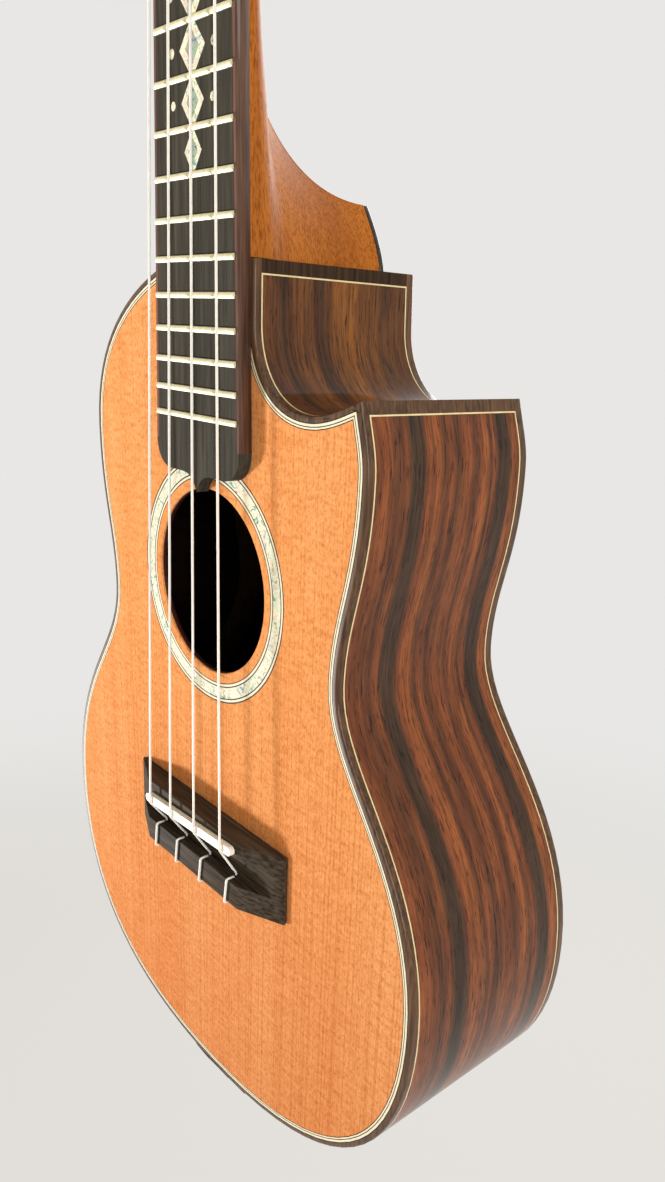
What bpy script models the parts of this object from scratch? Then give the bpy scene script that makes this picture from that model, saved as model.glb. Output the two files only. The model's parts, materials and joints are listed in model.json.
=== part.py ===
"""A tenor ukulele with a pointed cutaway, built from the separate pieces it is made of.

Every piece is modelled with the instrument on its back: x to the treble side, y along the
neck towards the headstock, z out of the soundboard. y = 0 is the nut's front edge, where the
scale starts, and z = 0 is the soundboard's upper face. One parent empty stands it upright.
"""

import math

import bmesh
import bpy
import numpy as np
from mathutils import Matrix, Vector

MM = 0.001

# Clearances
GLUE_GAP = 0.3 * MM
SEAT_GAP = 0.1 * MM
STRING_GAP = 0.15 * MM
RUNNING_GAP = 0.25 * MM

# Scale and fretboard
SCALE_LENGTH = 432 * MM
BODY_JOINT_FRET = 14
FRET_COUNT = 19
NUT_WIDTH = 35 * MM
JOINT_WIDTH = 47.4 * MM
FRETBOARD_THICKNESS = 4.5 * MM
FRETBOARD_BINDING = 1.2 * MM
FRETBOARD_LAST_STRETCH = 9 * MM
FRETBOARD_SHOULDER_DROP = 9.7 * MM
FRETBOARD_SHOULDER_HALF = 16 * MM
FRETBOARD_TIP_DROP = 6 * MM
FRETBOARD_CORNER_SWEEP = 6 * MM
FRETBOARD_SHOULDER_SWEEP = (5 * MM, 9 * MM)
FRETBOARD_TIP_SWEEP = (3 * MM, 1 * MM)
CROWN_WIDTH = 2.0 * MM
CROWN_HEIGHT = 0.8 * MM
TANG_THICKNESS = 0.5 * MM
TANG_DEPTH = 1.5 * MM

# Body outline, as the widest and narrowest places of one half
BODY_LENGTH = 313 * MM
LOWER_BOUT = 224 * MM
LOWER_BOUT_HEIGHT = 90 * MM
WAIST = 141 * MM
WAIST_HEIGHT = 191 * MM
UPPER_BOUT = 160 * MM
UPPER_BOUT_HEIGHT = 255 * MM
NECK_FLAT = 48 * MM
CUTAWAY_WALL = 25.6 * MM
CUTAWAY_STRAIGHT = 18 * MM
CUTAWAY_LOW = (52 * MM, 43.1 * MM)
HORN = (75.6 * MM, 37 * MM)
HORN_CUT_ANGLE = math.radians(20)
HORN_SIDE_ANGLE = math.radians(102)
HORN_SWEEP = 8 * MM
CUTAWAY_SWEEP = (16 * MM, 9 * MM)
CUTAWAY_WALL_SWEEP = 14 * MM
SHOULDER_ANGLE = math.radians(15)
SHOULDER_SWEEP = 10 * MM
UPPER_SWEEP = 42 * MM
CURVE_STEPS = 7

# Body construction
BODY_DEPTH_AT_JOINT = 66 * MM
BODY_DEPTH_AT_TAIL = 79 * MM
SIDE_THICKNESS = 2.0 * MM
SOUNDBOARD_THICKNESS = 2.4 * MM
BACK_THICKNESS = 2.4 * MM
BINDING_THICKNESS = 1.8 * MM
BINDING_HEIGHT = 3.2 * MM
LINING_THICKNESS = 5.0 * MM
LINING_HEIGHT = 9.0 * MM
HEAD_BLOCK_WIDTH = 38 * MM
HEAD_BLOCK_DEPTH = 22 * MM
TAIL_BLOCK_WIDTH = 46 * MM
TAIL_BLOCK_DEPTH = 12 * MM
BRACE_THICKNESS = 6 * MM
BRACE_HEIGHT = 8 * MM
FAN_BRACE_THICKNESS = 5 * MM
FAN_BRACE_HEIGHT = 6.5 * MM
FAN_BRACE_SPLAY = math.radians(8)
FAN_BRACE_SPREAD = 25 * MM
FAN_BRACE_END = 29 * MM
BRACE_FROM_HOLE = 10 * MM
FAN_FROM_BRACE = 2 * MM
BRIDGE_PLATE_HALF = 24 * MM
BRIDGE_PLATE_LENGTH = 34 * MM
BRIDGE_PLATE_THICKNESS = 2.2 * MM

# Sound hole and rosette
SOUND_HOLE_RADIUS = 32.6 * MM
SOUND_HOLE_FROM_JOINT = 104.9 * MM
ROSETTE_INNER = 35.4 * MM
ROSETTE_OUTER = 43.7 * MM
ROSETTE_DEPTH = 1.3 * MM

# Bridge and saddle
BRIDGE_HALF = 49 * MM
BRIDGE_BLOCK_HALF = 31 * MM
BRIDGE_FRONT = 1.5 * MM
BRIDGE_WIDTH = 26.7 * MM
BRIDGE_HEIGHT = 9.1 * MM
BRIDGE_TIP_HEIGHT = 1.5 * MM
TIE_BLOCK_WIDTH = 9.4 * MM
CHANNEL_FLOOR = 3.4 * MM
CHANNEL_WALL_LEAN = 2.0 * MM
SADDLE_HALF = 29.6 * MM
SADDLE_THICKNESS = 3.0 * MM
SADDLE_SETBACK = 3.7 * MM
SADDLE_SLANT = math.radians(3)
SADDLE_SLOT_FLOOR = 4.2 * MM
SADDLE_EDGE = 0.9 * MM
SADDLE_BREAK = 0.95 * MM
CHANNEL_SETBACK = 0.6 * MM
TIE_HOLE_HEIGHT = 4.6 * MM

# Strings
STRING_COUNT = 4
STRING_DIAMETER = 0.9 * MM
STRING_HEIGHT_AT_SADDLE = 11.6 * MM
STRING_HEIGHT_AT_NUT = 6.5 * MM
STRINGS_AT_SADDLE = (24.2 * MM, 6.9 * MM, -9.8 * MM, -25.1 * MM)
STRINGS_AT_NUT = (13.8 * MM, 4.3 * MM, -5.0 * MM, -13.6 * MM)
STRING_BEND = 0.8 * MM
COIL_TURNS = 3
COIL_PITCH = 1.25 * MM
LOOP_POINTS = 24

# Neck
NUT_LENGTH = 5 * MM
NUT_HEIGHT = 7.4 * MM
NECK_DEPTH_AT_NUT = 9.3 * MM
NECK_DEPTH_AT_HEEL = 9.5 * MM
NECK_ROUNDNESS = 2.2
NECK_FIRST_RINGS = (5 * MM, 15 * MM)
HEEL_SPAN = 23 * MM
HEEL_START = 90 * MM
HEEL_SWEEP = 38 * MM
HEEL_DROP = 19 * MM
HEEL_HALF = 10.5 * MM
HEEL_FLARE = 1.6
HEEL_POINT = 1.45
THINNEST_HALF = 0.15 * MM
COVE_DEPTH = 8 * MM
COVE_POWER = 1.4
HEEL_CAP_THICKNESS = 1.8 * MM

# Headstock
HEAD_TILT = math.radians(13)
HEAD_THICKNESS = 13 * MM
HEAD_VENEER = 1.5 * MM
HEAD_LENGTH = 104 * MM
HEAD_SHOULDER_SWEEP = (6 * MM, 11 * MM)
HEAD_TIP_SWEEP = (3 * MM, 1 * MM)
HEAD_FLARE_LENGTH = 20 * MM
HEAD_FLARE_HALF = 26.5 * MM
HEAD_TOP_HALF = 30 * MM
HEAD_CREST = 7 * MM

# Tuners
POST_SPREAD = 17 * MM
POST_ROWS = (33 * MM, 74 * MM)
POST_RADIUS = 3.0 * MM
POST_WAIST_RADIUS = 2.5 * MM
POST_HEIGHT = 11.5 * MM
POST_WAIST_LOW = 4.0 * MM
POST_WAIST_HIGH = 9.3 * MM
POST_HOLE_RADIUS = 0.8 * MM
TUNER_PLATE_THICKNESS = 1.2 * MM
TUNER_PLATE_HALF_WIDTH = 6.0 * MM
GEAR_TEETH = 14
GEAR_PITCH_RADIUS = 5.0 * MM
GEAR_ADDENDUM = 0.4 * MM
GEAR_DEDENDUM = 0.7 * MM
GEAR_THICKNESS = 2.4 * MM
WORM_PITCH_RADIUS = 2.0 * MM
WORM_THREAD_RADIUS = 0.7 * MM
WORM_THREAD_SINK = 0.25 * MM
WORM_SHAFT_RADIUS = 1.3 * MM
WORM_TURNS = 3
EAR_OFFSET = 6.5 * MM
EAR_THICKNESS = 2.0 * MM
EAR_HALF = 2.9 * MM
BUTTON_OVERHANG = 3.5 * MM
BUTTON_LENGTH = 15 * MM
BUTTON_HALF_WIDTH = 6.3 * MM
BUTTON_HALF_THICKNESS = 3.2 * MM

# Places worked out from the sizes above
JOINT_Y = -SCALE_LENGTH * (1 - 2 ** (-BODY_JOINT_FRET / 12))
TAIL_Y = JOINT_Y - BODY_LENGTH
SADDLE_Y = -SCALE_LENGTH - SADDLE_SETBACK
BRIDGE_FRONT_Y = -SCALE_LENGTH + BRIDGE_FRONT
BRIDGE_REAR_Y = BRIDGE_FRONT_Y - BRIDGE_WIDTH
TIE_FRONT_Y = BRIDGE_REAR_Y + TIE_BLOCK_WIDTH
HOLE_Y = JOINT_Y - SOUND_HOLE_FROM_JOINT
FRETBOARD_TOP = GLUE_GAP + FRETBOARD_THICKNESS
STRING_RADIUS = STRING_DIAMETER / 2
SADDLE_CREST = STRING_HEIGHT_AT_SADDLE - STRING_RADIUS - STRING_GAP
WORM_OFFSET = GEAR_PITCH_RADIUS + WORM_PITCH_RADIUS
PLATE_TOP = -HEAD_THICKNESS - GLUE_GAP
PLATE_BOTTOM = PLATE_TOP - TUNER_PLATE_THICKNESS
WORM_Z = PLATE_BOTTOM - WORM_PITCH_RADIUS - WORM_THREAD_RADIUS - GLUE_GAP

WOODS = {
    "cedar": ((0.78, 0.42, 0.18), 0.25),
    "rosewood": ((0.20, 0.09, 0.06), 0.2),
    "dark_binding": ((0.12, 0.06, 0.04), 0.25),
    "mahogany": ((0.52, 0.26, 0.11), 0.4),
    "ebony": ((0.045, 0.04, 0.04), 0.4),
    "spruce": ((0.80, 0.66, 0.45), 0.6),
}


# Scene helpers


def clear_scene():
    for obj in list(bpy.data.objects):
        bpy.data.objects.remove(obj)


def new_collection(name, hidden=False):
    collection = bpy.data.collections.new(name)
    collection.hide_render = hidden
    bpy.context.scene.collection.children.link(collection)
    return collection


def new_empty(name, parent, location, rotation):
    empty = bpy.data.objects.new(name, None)
    parts.objects.link(empty)
    empty.parent = parent
    empty.location = location
    empty.rotation_euler = rotation
    return empty


def new_material(name, colour, roughness, metallic=0.0):
    material = bpy.data.materials.new(name)
    material.use_nodes = True
    shader = material.node_tree.nodes["Principled BSDF"]
    shader.inputs["Base Color"].default_value = (*colour, 1.0)
    shader.inputs["Roughness"].default_value = roughness
    shader.inputs["Metallic"].default_value = metallic
    material.diffuse_color = (*colour, 1.0)
    return material


def new_object(name, mesh, look, parent, location=(0, 0, 0), rotation=(0, 0, 0)):
    """A named piece with a material of its own."""
    obj = bpy.data.objects.new(name, mesh)
    parts.objects.link(obj)
    obj.parent = parent
    obj.location = location
    obj.rotation_euler = rotation
    colour, roughness, *metallic = look
    mesh.materials.clear()
    mesh.materials.append(new_material(name, colour, roughness, *metallic))
    return obj


def new_cutter(name, mesh, parent, location=(0, 0, 0), rotation=(0, 0, 0)):
    obj = bpy.data.objects.new(name, mesh)
    cutters.objects.link(obj)
    obj.parent = parent
    obj.location = location
    obj.rotation_euler = rotation
    obj.hide_render = True
    obj.display_type = "WIRE"
    return obj


def cut(obj, *cutter_objects):
    for cutter in cutter_objects:
        modifier = obj.modifiers.new(cutter.name, "BOOLEAN")
        modifier.operation = "DIFFERENCE"
        modifier.object = cutter


def bevel(obj, width, angle=40):
    modifier = obj.modifiers.new("rounded_edges", "BEVEL")
    modifier.width = width
    modifier.segments = 1
    modifier.limit_method = "ANGLE"
    modifier.angle_limit = math.radians(angle)


def joined_mesh(name, first, others):
    """One mesh from several overlapping meshes, all in the same frame."""
    base = bpy.data.objects.new(name, first)
    bpy.context.scene.collection.objects.link(base)
    helpers = []
    for mesh in others:
        helper = bpy.data.objects.new(name, mesh)
        bpy.context.scene.collection.objects.link(helper)
        modifier = base.modifiers.new("union", "BOOLEAN")
        modifier.operation = "UNION"
        modifier.object = helper
        helpers.append(helper)
    mesh = bpy.data.meshes.new_from_object(base.evaluated_get(bpy.context.evaluated_depsgraph_get()))
    for obj in (base, *helpers):
        bpy.data.objects.remove(obj)
    mesh.name = name
    return mesh


# Mesh helpers


def curve_mesh(name, curve):
    """The closed mesh that a curve makes, with its caps welded on."""
    obj = bpy.data.objects.new(name, curve)
    bpy.context.scene.collection.objects.link(obj)
    mesh = bpy.data.meshes.new_from_object(obj.evaluated_get(bpy.context.evaluated_depsgraph_get()))
    bpy.data.objects.remove(obj)
    build = bmesh.new()
    build.from_mesh(mesh)
    bmesh.ops.remove_doubles(build, verts=build.verts, dist=1e-6)
    bmesh.ops.recalc_face_normals(build, faces=build.faces)
    build.to_mesh(mesh)
    build.free()
    mesh.name = name
    return mesh


def prism(name, loops, low=-0.5, high=0.5):
    """A flat outline, with holes if it has more loops, from low to high: numbers or functions of y."""
    curve = bpy.data.curves.new(name, "CURVE")
    curve.dimensions = "2D"
    curve.fill_mode = "BOTH"
    curve.extrude = 1.0
    for loop in loops:
        spline = curve.splines.new("POLY")
        spline.points.add(len(loop) - 1)
        spline.use_cyclic_u = True
        for point, (x, y) in zip(spline.points, loop):
            point.co = (x, y, 0, 1)
    mesh = curve_mesh(name, curve)
    for vertex in mesh.vertices:
        level = high if vertex.co.z > 0 else low
        vertex.co.z = level(vertex.co.y) if callable(level) else level
    return mesh


def box_mesh(name, low, high):
    low, high = Vector(low), Vector(high)
    build = bmesh.new()
    bmesh.ops.create_cube(build, size=1.0)
    bmesh.ops.scale(build, vec=high - low, verts=build.verts)
    bmesh.ops.translate(build, vec=(low + high) / 2, verts=build.verts)
    mesh = bpy.data.meshes.new(name)
    build.to_mesh(mesh)
    build.free()
    return mesh


def cylinder_mesh(name, radius, low, high, sides=16):
    build = bmesh.new()
    bmesh.ops.create_cone(
        build, cap_ends=True, segments=sides, radius1=radius, radius2=radius, depth=high - low
    )
    bmesh.ops.translate(build, vec=(0, 0, (low + high) / 2), verts=build.verts)
    mesh = bpy.data.meshes.new(name)
    build.to_mesh(mesh)
    build.free()
    return mesh


def tube_mesh(name, points, radius, resolution, twist="MINIMUM"):
    curve = bpy.data.curves.new(name, "CURVE")
    curve.dimensions = "3D"
    curve.twist_mode = twist
    curve.bevel_depth = radius
    curve.bevel_resolution = resolution
    curve.use_fill_caps = True
    spline = curve.splines.new("POLY")
    spline.points.add(len(points) - 1)
    for point, place in zip(spline.points, points):
        point.co = (*place, 1)
    return curve_mesh(name, curve)


def turned_mesh(name, profile, sides):
    """A profile of (radius, z) from top to bottom, on the axis at both ends, turned about z."""
    build = bmesh.new()
    rows = [build.verts.new((radius, 0, z)) for radius, z in profile]
    for upper, lower in zip(rows, rows[1:]):
        build.edges.new((upper, lower))
    mesh = bpy.data.meshes.new(name)
    build.to_mesh(mesh)
    build.free()
    obj = bpy.data.objects.new(name, mesh)
    bpy.context.scene.collection.objects.link(obj)
    screw = obj.modifiers.new("turn", "SCREW")
    screw.steps = sides
    screw.render_steps = sides
    screw.use_merge_vertices = True
    screw.merge_threshold = 1e-6
    solid = bpy.data.meshes.new_from_object(obj.evaluated_get(bpy.context.evaluated_depsgraph_get()))
    bpy.data.objects.remove(obj)
    solid.name = name
    return solid


def loft_mesh(name, rings):
    """A closed skin over rings of equally many points."""
    build = bmesh.new()
    rows = [[build.verts.new(point) for point in ring] for ring in rings]
    for first, second in zip(rows, rows[1:]):
        for i in range(len(first)):
            j = (i + 1) % len(first)
            build.faces.new((first[i], first[j], second[j], second[i]))
    build.faces.new(rows[0])
    build.faces.new(rows[-1])
    bmesh.ops.recalc_face_normals(build, faces=build.faces)
    bmesh.ops.triangulate(build, faces=build.faces)
    mesh = bpy.data.meshes.new(name)
    build.to_mesh(mesh)
    build.free()
    return mesh


# Flat geometry helpers


def bezier(start, start_handle, end_handle, end, steps):
    """Points of a cubic curve, without its last one."""
    start, start_handle, end_handle, end = map(np.array, (start, start_handle, end_handle, end))
    points = []
    for i in range(steps):
        t = i / steps
        points.append(
            tuple(
                start * (1 - t) ** 3
                + 3 * start_handle * t * (1 - t) ** 2
                + 3 * end_handle * t * t * (1 - t)
                + end * t**3
            )
        )
    return points


def circle(radius, centre_y, steps):
    turns = [2 * math.pi * i / steps for i in range(steps)]
    return [(radius * math.cos(a), centre_y + radius * math.sin(a)) for a in turns]


def unit(vector):
    return vector / np.linalg.norm(vector)


def inset_points(loop, distance):
    """Each corner of a closed anticlockwise loop moved inwards, mitred."""
    loop = [np.array(point) for point in loop]
    moved = []
    for i, point in enumerate(loop):
        before = unit(point - loop[i - 1])
        after = unit(loop[(i + 1) % len(loop)] - point)
        normal_before = np.array((-before[1], before[0]))
        normal_after = np.array((-after[1], after[0]))
        mitre = (normal_before + normal_after) / (1 + normal_before @ normal_after)
        moved.append(point + distance * mitre)
    return moved


def distance_to_loop(point, loop):
    nearest = math.inf
    for i, start in enumerate(loop):
        start = np.array(start)
        along = np.array(loop[(i + 1) % len(loop)]) - start
        share = min(1.0, max(0.0, float((point - start) @ along / (along @ along))))
        nearest = min(nearest, float(np.linalg.norm(point - start - share * along)))
    return nearest


def inset_loop(loop, distance):
    """A loop inside another, without the points that a tight corner folds back."""
    kept = inset_points(loop, distance)
    return [tuple(p) for p in kept if distance_to_loop(p, loop) > 0.97 * distance]


# Body outline


def body_runs():
    """The outline as runs, anticlockwise from the tail: treble side, cutaway, bass side."""
    lower = (LOWER_BOUT / 2, TAIL_Y + LOWER_BOUT_HEIGHT)
    waist = (WAIST / 2, TAIL_Y + WAIST_HEIGHT)
    upper = (UPPER_BOUT / 2, TAIL_Y + UPPER_BOUT_HEIGHT)
    horn = (HORN[0], JOINT_Y - HORN[1])
    low = (CUTAWAY_LOW[0], JOINT_Y - CUTAWAY_LOW[1])
    wall_end = (CUTAWAY_WALL, JOINT_Y - CUTAWAY_STRAIGHT)
    shoulder = (NECK_FLAT / 2, JOINT_Y)
    belly = 0.55 * (waist[1] - lower[1])
    lower_half = (
        bezier((0, TAIL_Y), (0.78 * lower[0], TAIL_Y), (lower[0], lower[1] - 0.5 * LOWER_BOUT_HEIGHT), lower, CURVE_STEPS)
        + bezier(lower, (lower[0], lower[1] + belly), (waist[0], waist[1] - 0.5 * belly), waist, CURVE_STEPS)
        + bezier(waist, (waist[0], waist[1] + 0.4 * belly), (upper[0], upper[1] - 0.55 * belly), upper, CURVE_STEPS)
    )
    horn_side = (
        horn[0] - HORN_SWEEP * math.cos(HORN_SIDE_ANGLE),
        horn[1] - HORN_SWEEP * math.sin(HORN_SIDE_ANGLE),
    )
    treble = lower_half + bezier(upper, (upper[0], upper[1] + HORN_SWEEP), horn_side, horn, 3)
    horn_cut = (
        horn[0] - HORN_SWEEP * math.cos(HORN_CUT_ANGLE),
        horn[1] - HORN_SWEEP * math.sin(HORN_CUT_ANGLE),
    )
    wall_sweep, horn_sweep = CUTAWAY_SWEEP
    cutaway = bezier(horn, horn_cut, (low[0] + horn_sweep, low[1]), low, 4)
    wall_handle = (wall_end[0], wall_end[1] - CUTAWAY_WALL_SWEEP)
    cutaway += bezier(low, (low[0] - wall_sweep, low[1]), wall_handle, wall_end, CURVE_STEPS)
    cutaway += [wall_end]
    corner = (CUTAWAY_WALL, JOINT_Y)
    shoulder_in = (
        shoulder[0] + SHOULDER_SWEEP * math.cos(SHOULDER_ANGLE),
        shoulder[1] - SHOULDER_SWEEP * math.sin(SHOULDER_ANGLE),
    )
    upper_handle = (upper[0], upper[1] + UPPER_SWEEP)
    shoulder_curve = bezier(shoulder, shoulder_in, upper_handle, upper, CURVE_STEPS)
    bass_half = shoulder_curve + [upper] + lower_half[:0:-1]
    bass = [corner] + [(-x, y) for x, y in bass_half]
    return treble, cutaway, bass


def body_outline():
    return [point for run in body_runs() for point in run]


def back_depth(y):
    """How far the back's outer face lies behind the soundboard's: it is deeper at the tail."""
    share = (JOINT_Y - y) / BODY_LENGTH
    return BODY_DEPTH_AT_JOINT + share * (BODY_DEPTH_AT_TAIL - BODY_DEPTH_AT_JOINT)


def above_back(height):
    return lambda y: -back_depth(y) + height


def side_strip(index):
    """The plan of one bent side: its outer run and the same run inset, its ends drawn back a little."""
    runs = body_runs()
    outline = body_outline()
    inner = [tuple(point) for point in inset_points(outline, SIDE_THICKNESS)]
    start = sum(len(run) for run in runs[:index])
    count = len(runs[index])
    places = [(start + i) % len(outline) for i in range(count + 1)]
    outer_run = [np.array(outline[i]) for i in places]
    inner_run = [np.array(inner[i]) for i in places]
    for end, neighbour in ((0, 1), (-1, -2)):
        joint_line = unit(inner_run[end] - outer_run[end])
        away = np.array((-joint_line[1], joint_line[0]))
        if away @ (outer_run[neighbour] - outer_run[end]) < 0:
            away = -away
        outer_run[end] = outer_run[end] + away * GLUE_GAP / 2
        inner_run[end] = inner_run[end] + away * GLUE_GAP / 2
    return [tuple(p) for p in outer_run] + [tuple(p) for p in reversed(inner_run)]


# Body pieces


def make_sides():
    top = -BINDING_HEIGHT - GLUE_GAP
    bottom = above_back(BINDING_HEIGHT + GLUE_GAP)
    for index, name in enumerate(("treble_side", "cutaway_side", "bass_side")):
        mesh = prism(name, [side_strip(index)], bottom, top)
        new_object(name, mesh, WOODS["rosewood"], upright)


def make_bindings():
    outline = body_outline()
    loops = [outline, inset_loop(outline, BINDING_THICKNESS)]
    top = prism("top_binding", loops, -BINDING_HEIGHT, 0)
    new_object("top_binding", top, WOODS["dark_binding"], upright)
    back = prism("back_binding", loops, above_back(0), above_back(BINDING_HEIGHT))
    new_object("back_binding", back, WOODS["dark_binding"], upright)


def make_soundboard():
    plate = inset_loop(body_outline(), BINDING_THICKNESS + GLUE_GAP)
    hole = circle(SOUND_HOLE_RADIUS, HOLE_Y, 36)
    mesh = prism("soundboard", [plate, hole], -SOUNDBOARD_THICKNESS, 0)
    board = new_object("soundboard", mesh, WOODS["cedar"], upright)
    channel = [
        circle(ROSETTE_OUTER + GLUE_GAP, HOLE_Y, 36),
        circle(ROSETTE_INNER - GLUE_GAP, HOLE_Y, 36),
    ]
    floor = -ROSETTE_DEPTH - GLUE_GAP
    cut(board, new_cutter("rosette_channel", prism("rosette_channel", channel, floor, MM), upright))


def make_rosette():
    rings = [circle(ROSETTE_OUTER, HOLE_Y, 36), circle(ROSETTE_INNER, HOLE_Y, 36)]
    mesh = prism("rosette", rings, -ROSETTE_DEPTH, 0)
    new_object("rosette", mesh, ((0.80, 0.80, 0.70), 0.2), upright)


def make_back():
    plate = inset_loop(body_outline(), BINDING_THICKNESS + GLUE_GAP)
    mesh = prism("back_plate", [plate], above_back(0), above_back(BACK_THICKNESS))
    new_object("back_plate", mesh, WOODS["rosewood"], upright)


def make_linings():
    """Strips inside the sides, from one face of the head block round to the other."""
    outer = inset_loop(body_outline(), SIDE_THICKNESS + GLUE_GAP)
    inner = inset_loop(body_outline(), SIDE_THICKNESS + GLUE_GAP + LINING_THICKNESS)
    half = HEAD_BLOCK_WIDTH / 2 + GLUE_GAP
    block_end = JOINT_Y - SIDE_THICKNESS - HEAD_BLOCK_DEPTH - 2 * GLUE_GAP
    room = box_mesh("head_block_room", (-half, block_end, -BODY_DEPTH_AT_TAIL), (half, JOINT_Y, MM))
    room = new_cutter("head_block_room", room, upright)
    top = -SOUNDBOARD_THICKNESS - GLUE_GAP
    mesh = prism("top_lining", [outer, inner], top - LINING_HEIGHT, top)
    cut(new_object("top_lining", mesh, WOODS["spruce"], upright), room)
    base = BACK_THICKNESS + GLUE_GAP
    mesh = prism("back_lining", [outer, inner], above_back(base), above_back(base + LINING_HEIGHT))
    cut(new_object("back_lining", mesh, WOODS["spruce"], upright), room)


def rectangle(left, bottom, right, top):
    return [(left, bottom), (right, bottom), (right, top), (left, top)]


def tail_level(loop, x):
    """Where a loop's tail end lies along the neck, at a distance from the centre line."""
    run = sorted(p for p in loop if p[1] < TAIL_Y + LOWER_BOUT_HEIGHT)
    return float(np.interp(x, [p[0] for p in run], [p[1] for p in run]))


def make_blocks():
    top = -SOUNDBOARD_THICKNESS - GLUE_GAP
    face = JOINT_Y - SIDE_THICKNESS - GLUE_GAP
    half = HEAD_BLOCK_WIDTH / 2
    plan = rectangle(-half, face - HEAD_BLOCK_DEPTH, half, face)
    mesh = prism("head_block", [plan], above_back(BACK_THICKNESS + GLUE_GAP), top)
    new_object("head_block", mesh, WOODS["mahogany"], upright)
    inner = inset_loop(body_outline(), SIDE_THICKNESS + GLUE_GAP)
    half = TAIL_BLOCK_WIDTH / 2
    ends = [(x, tail_level(inner, x)) for x in (-half, half)]
    arc = sorted([p for p in inner if abs(p[0]) < half and p[1] < ends[0][1]] + ends)
    front = TAIL_Y + SIDE_THICKNESS + GLUE_GAP + TAIL_BLOCK_DEPTH
    plan = arc + [(half, front), (-half, front)]
    low = above_back(BACK_THICKNESS + LINING_HEIGHT + 2 * GLUE_GAP)
    mesh = prism("tail_block", [plan], low, top - LINING_HEIGHT - GLUE_GAP)
    new_object("tail_block", mesh, WOODS["mahogany"], upright)


def brace_half(y):
    """Half the length of a brace across the body that stops at the linings."""
    loop = inset_loop(body_outline(), SIDE_THICKNESS + GLUE_GAP + LINING_THICKNESS)
    halves = []
    for level in (y - BRACE_THICKNESS / 2, y + BRACE_THICKNESS / 2):
        for i, start in enumerate(loop):
            end = loop[(i + 1) % len(loop)]
            if (start[1] - level) * (end[1] - level) <= 0 and start[1] != end[1]:
                share = (level - start[1]) / (end[1] - start[1])
                halves.append(abs(start[0] + share * (end[0] - start[0])))
    return min(halves) - GLUE_GAP


def make_braces():
    top = -SOUNDBOARD_THICKNESS - GLUE_GAP
    reach = SOUND_HOLE_RADIUS + BRACE_FROM_HOLE + BRACE_THICKNESS / 2
    for name, y in (("upper_brace", HOLE_Y + reach), ("lower_brace", HOLE_Y - reach)):
        half = brace_half(y)
        plan = rectangle(-half, y - BRACE_THICKNESS / 2, half, y + BRACE_THICKNESS / 2)
        mesh = prism(name, [plan], top - BRACE_HEIGHT, top)
        new_object(name, mesh, WOODS["spruce"], upright)
    fan_top = HOLE_Y - reach - BRACE_THICKNESS / 2 - FAN_FROM_BRACE
    fan_end = TAIL_Y + SIDE_THICKNESS + GLUE_GAP + LINING_THICKNESS + FAN_BRACE_END
    fan_length = (fan_top - fan_end) / math.cos(FAN_BRACE_SPLAY)
    for name, side in (("fan_brace_treble", 1), ("fan_brace_bass", -1)):
        half = FAN_BRACE_THICKNESS / 2
        plan = rectangle(-half, -fan_length, half, 0)
        mesh = prism(name, [plan], top - FAN_BRACE_HEIGHT, top)
        place = (side * FAN_BRACE_SPREAD, fan_top, 0)
        new_object(name, mesh, WOODS["spruce"], upright, place, (0, 0, side * FAN_BRACE_SPLAY))
    half = BRIDGE_PLATE_HALF - FAN_BRACE_THICKNESS / 2
    middle = (BRIDGE_FRONT_Y + BRIDGE_REAR_Y) / 2
    plan = rectangle(-half, middle - BRIDGE_PLATE_LENGTH / 2, half, middle + BRIDGE_PLATE_LENGTH / 2)
    mesh = prism("bridge_plate", [plan], top - BRIDGE_PLATE_THICKNESS, top)
    new_object("bridge_plate", mesh, WOODS["rosewood"], upright)
    y = TAIL_Y + LOWER_BOUT_HEIGHT
    half = brace_half(y)
    plan = rectangle(-half, y - BRACE_THICKNESS / 2, half, y + BRACE_THICKNESS / 2)
    base = BACK_THICKNESS + GLUE_GAP
    mesh = prism("back_brace", [plan], above_back(base), above_back(base + BRACE_HEIGHT))
    new_object("back_brace", mesh, WOODS["spruce"], upright)


# Fretboard, frets and nut


def fret_y(number):
    return -SCALE_LENGTH * (1 - 2 ** (-number / 12))


def fretboard_half(y):
    """Half the fretboard's width, which grows steadily from the nut."""
    return NUT_WIDTH / 2 + (JOINT_WIDTH - NUT_WIDTH) / 2 * y / JOINT_Y


def make_fretboard():
    top_y = -GLUE_GAP
    end_y = fret_y(FRET_COUNT) - FRETBOARD_LAST_STRETCH
    end_half = fretboard_half(end_y)
    shoulder = (FRETBOARD_SHOULDER_HALF, end_y - FRETBOARD_SHOULDER_DROP)
    tip = (0, shoulder[1] - FRETBOARD_TIP_DROP)
    corner = (end_half, end_y)
    corner_handle = (end_half, end_y - FRETBOARD_CORNER_SWEEP)
    outer_sweep, inner_sweep = FRETBOARD_SHOULDER_SWEEP
    tip_handle = (FRETBOARD_TIP_SWEEP[0], shoulder[1] + FRETBOARD_TIP_SWEEP[1])
    half = bezier(corner, corner_handle, (shoulder[0] + outer_sweep, shoulder[1]), shoulder, 6)
    half += bezier(shoulder, (shoulder[0] - inner_sweep, shoulder[1]), tip_handle, tip, 6)
    treble = [(fretboard_half(top_y), top_y)] + half
    plan = treble + [tip] + [(-x, y) for x, y in reversed(treble)]
    board = new_object(
        "fretboard", prism("fretboard", [plan], GLUE_GAP, FRETBOARD_TOP), WOODS["ebony"], upright
    )
    for number in range(1, FRET_COUNT + 1):
        y = fret_y(number)
        half_slot = fretboard_half(y) - FRETBOARD_BINDING + GLUE_GAP
        wide = TANG_THICKNESS / 2 + SEAT_GAP
        slot = box_mesh(
            f"fret_slot_{number:02d}",
            (-half_slot, y - wide, FRETBOARD_TOP - TANG_DEPTH - 2 * SEAT_GAP),
            (half_slot, y + wide, FRETBOARD_TOP + MM),
        )
        cut(board, new_cutter(slot.name, slot, upright))


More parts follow.
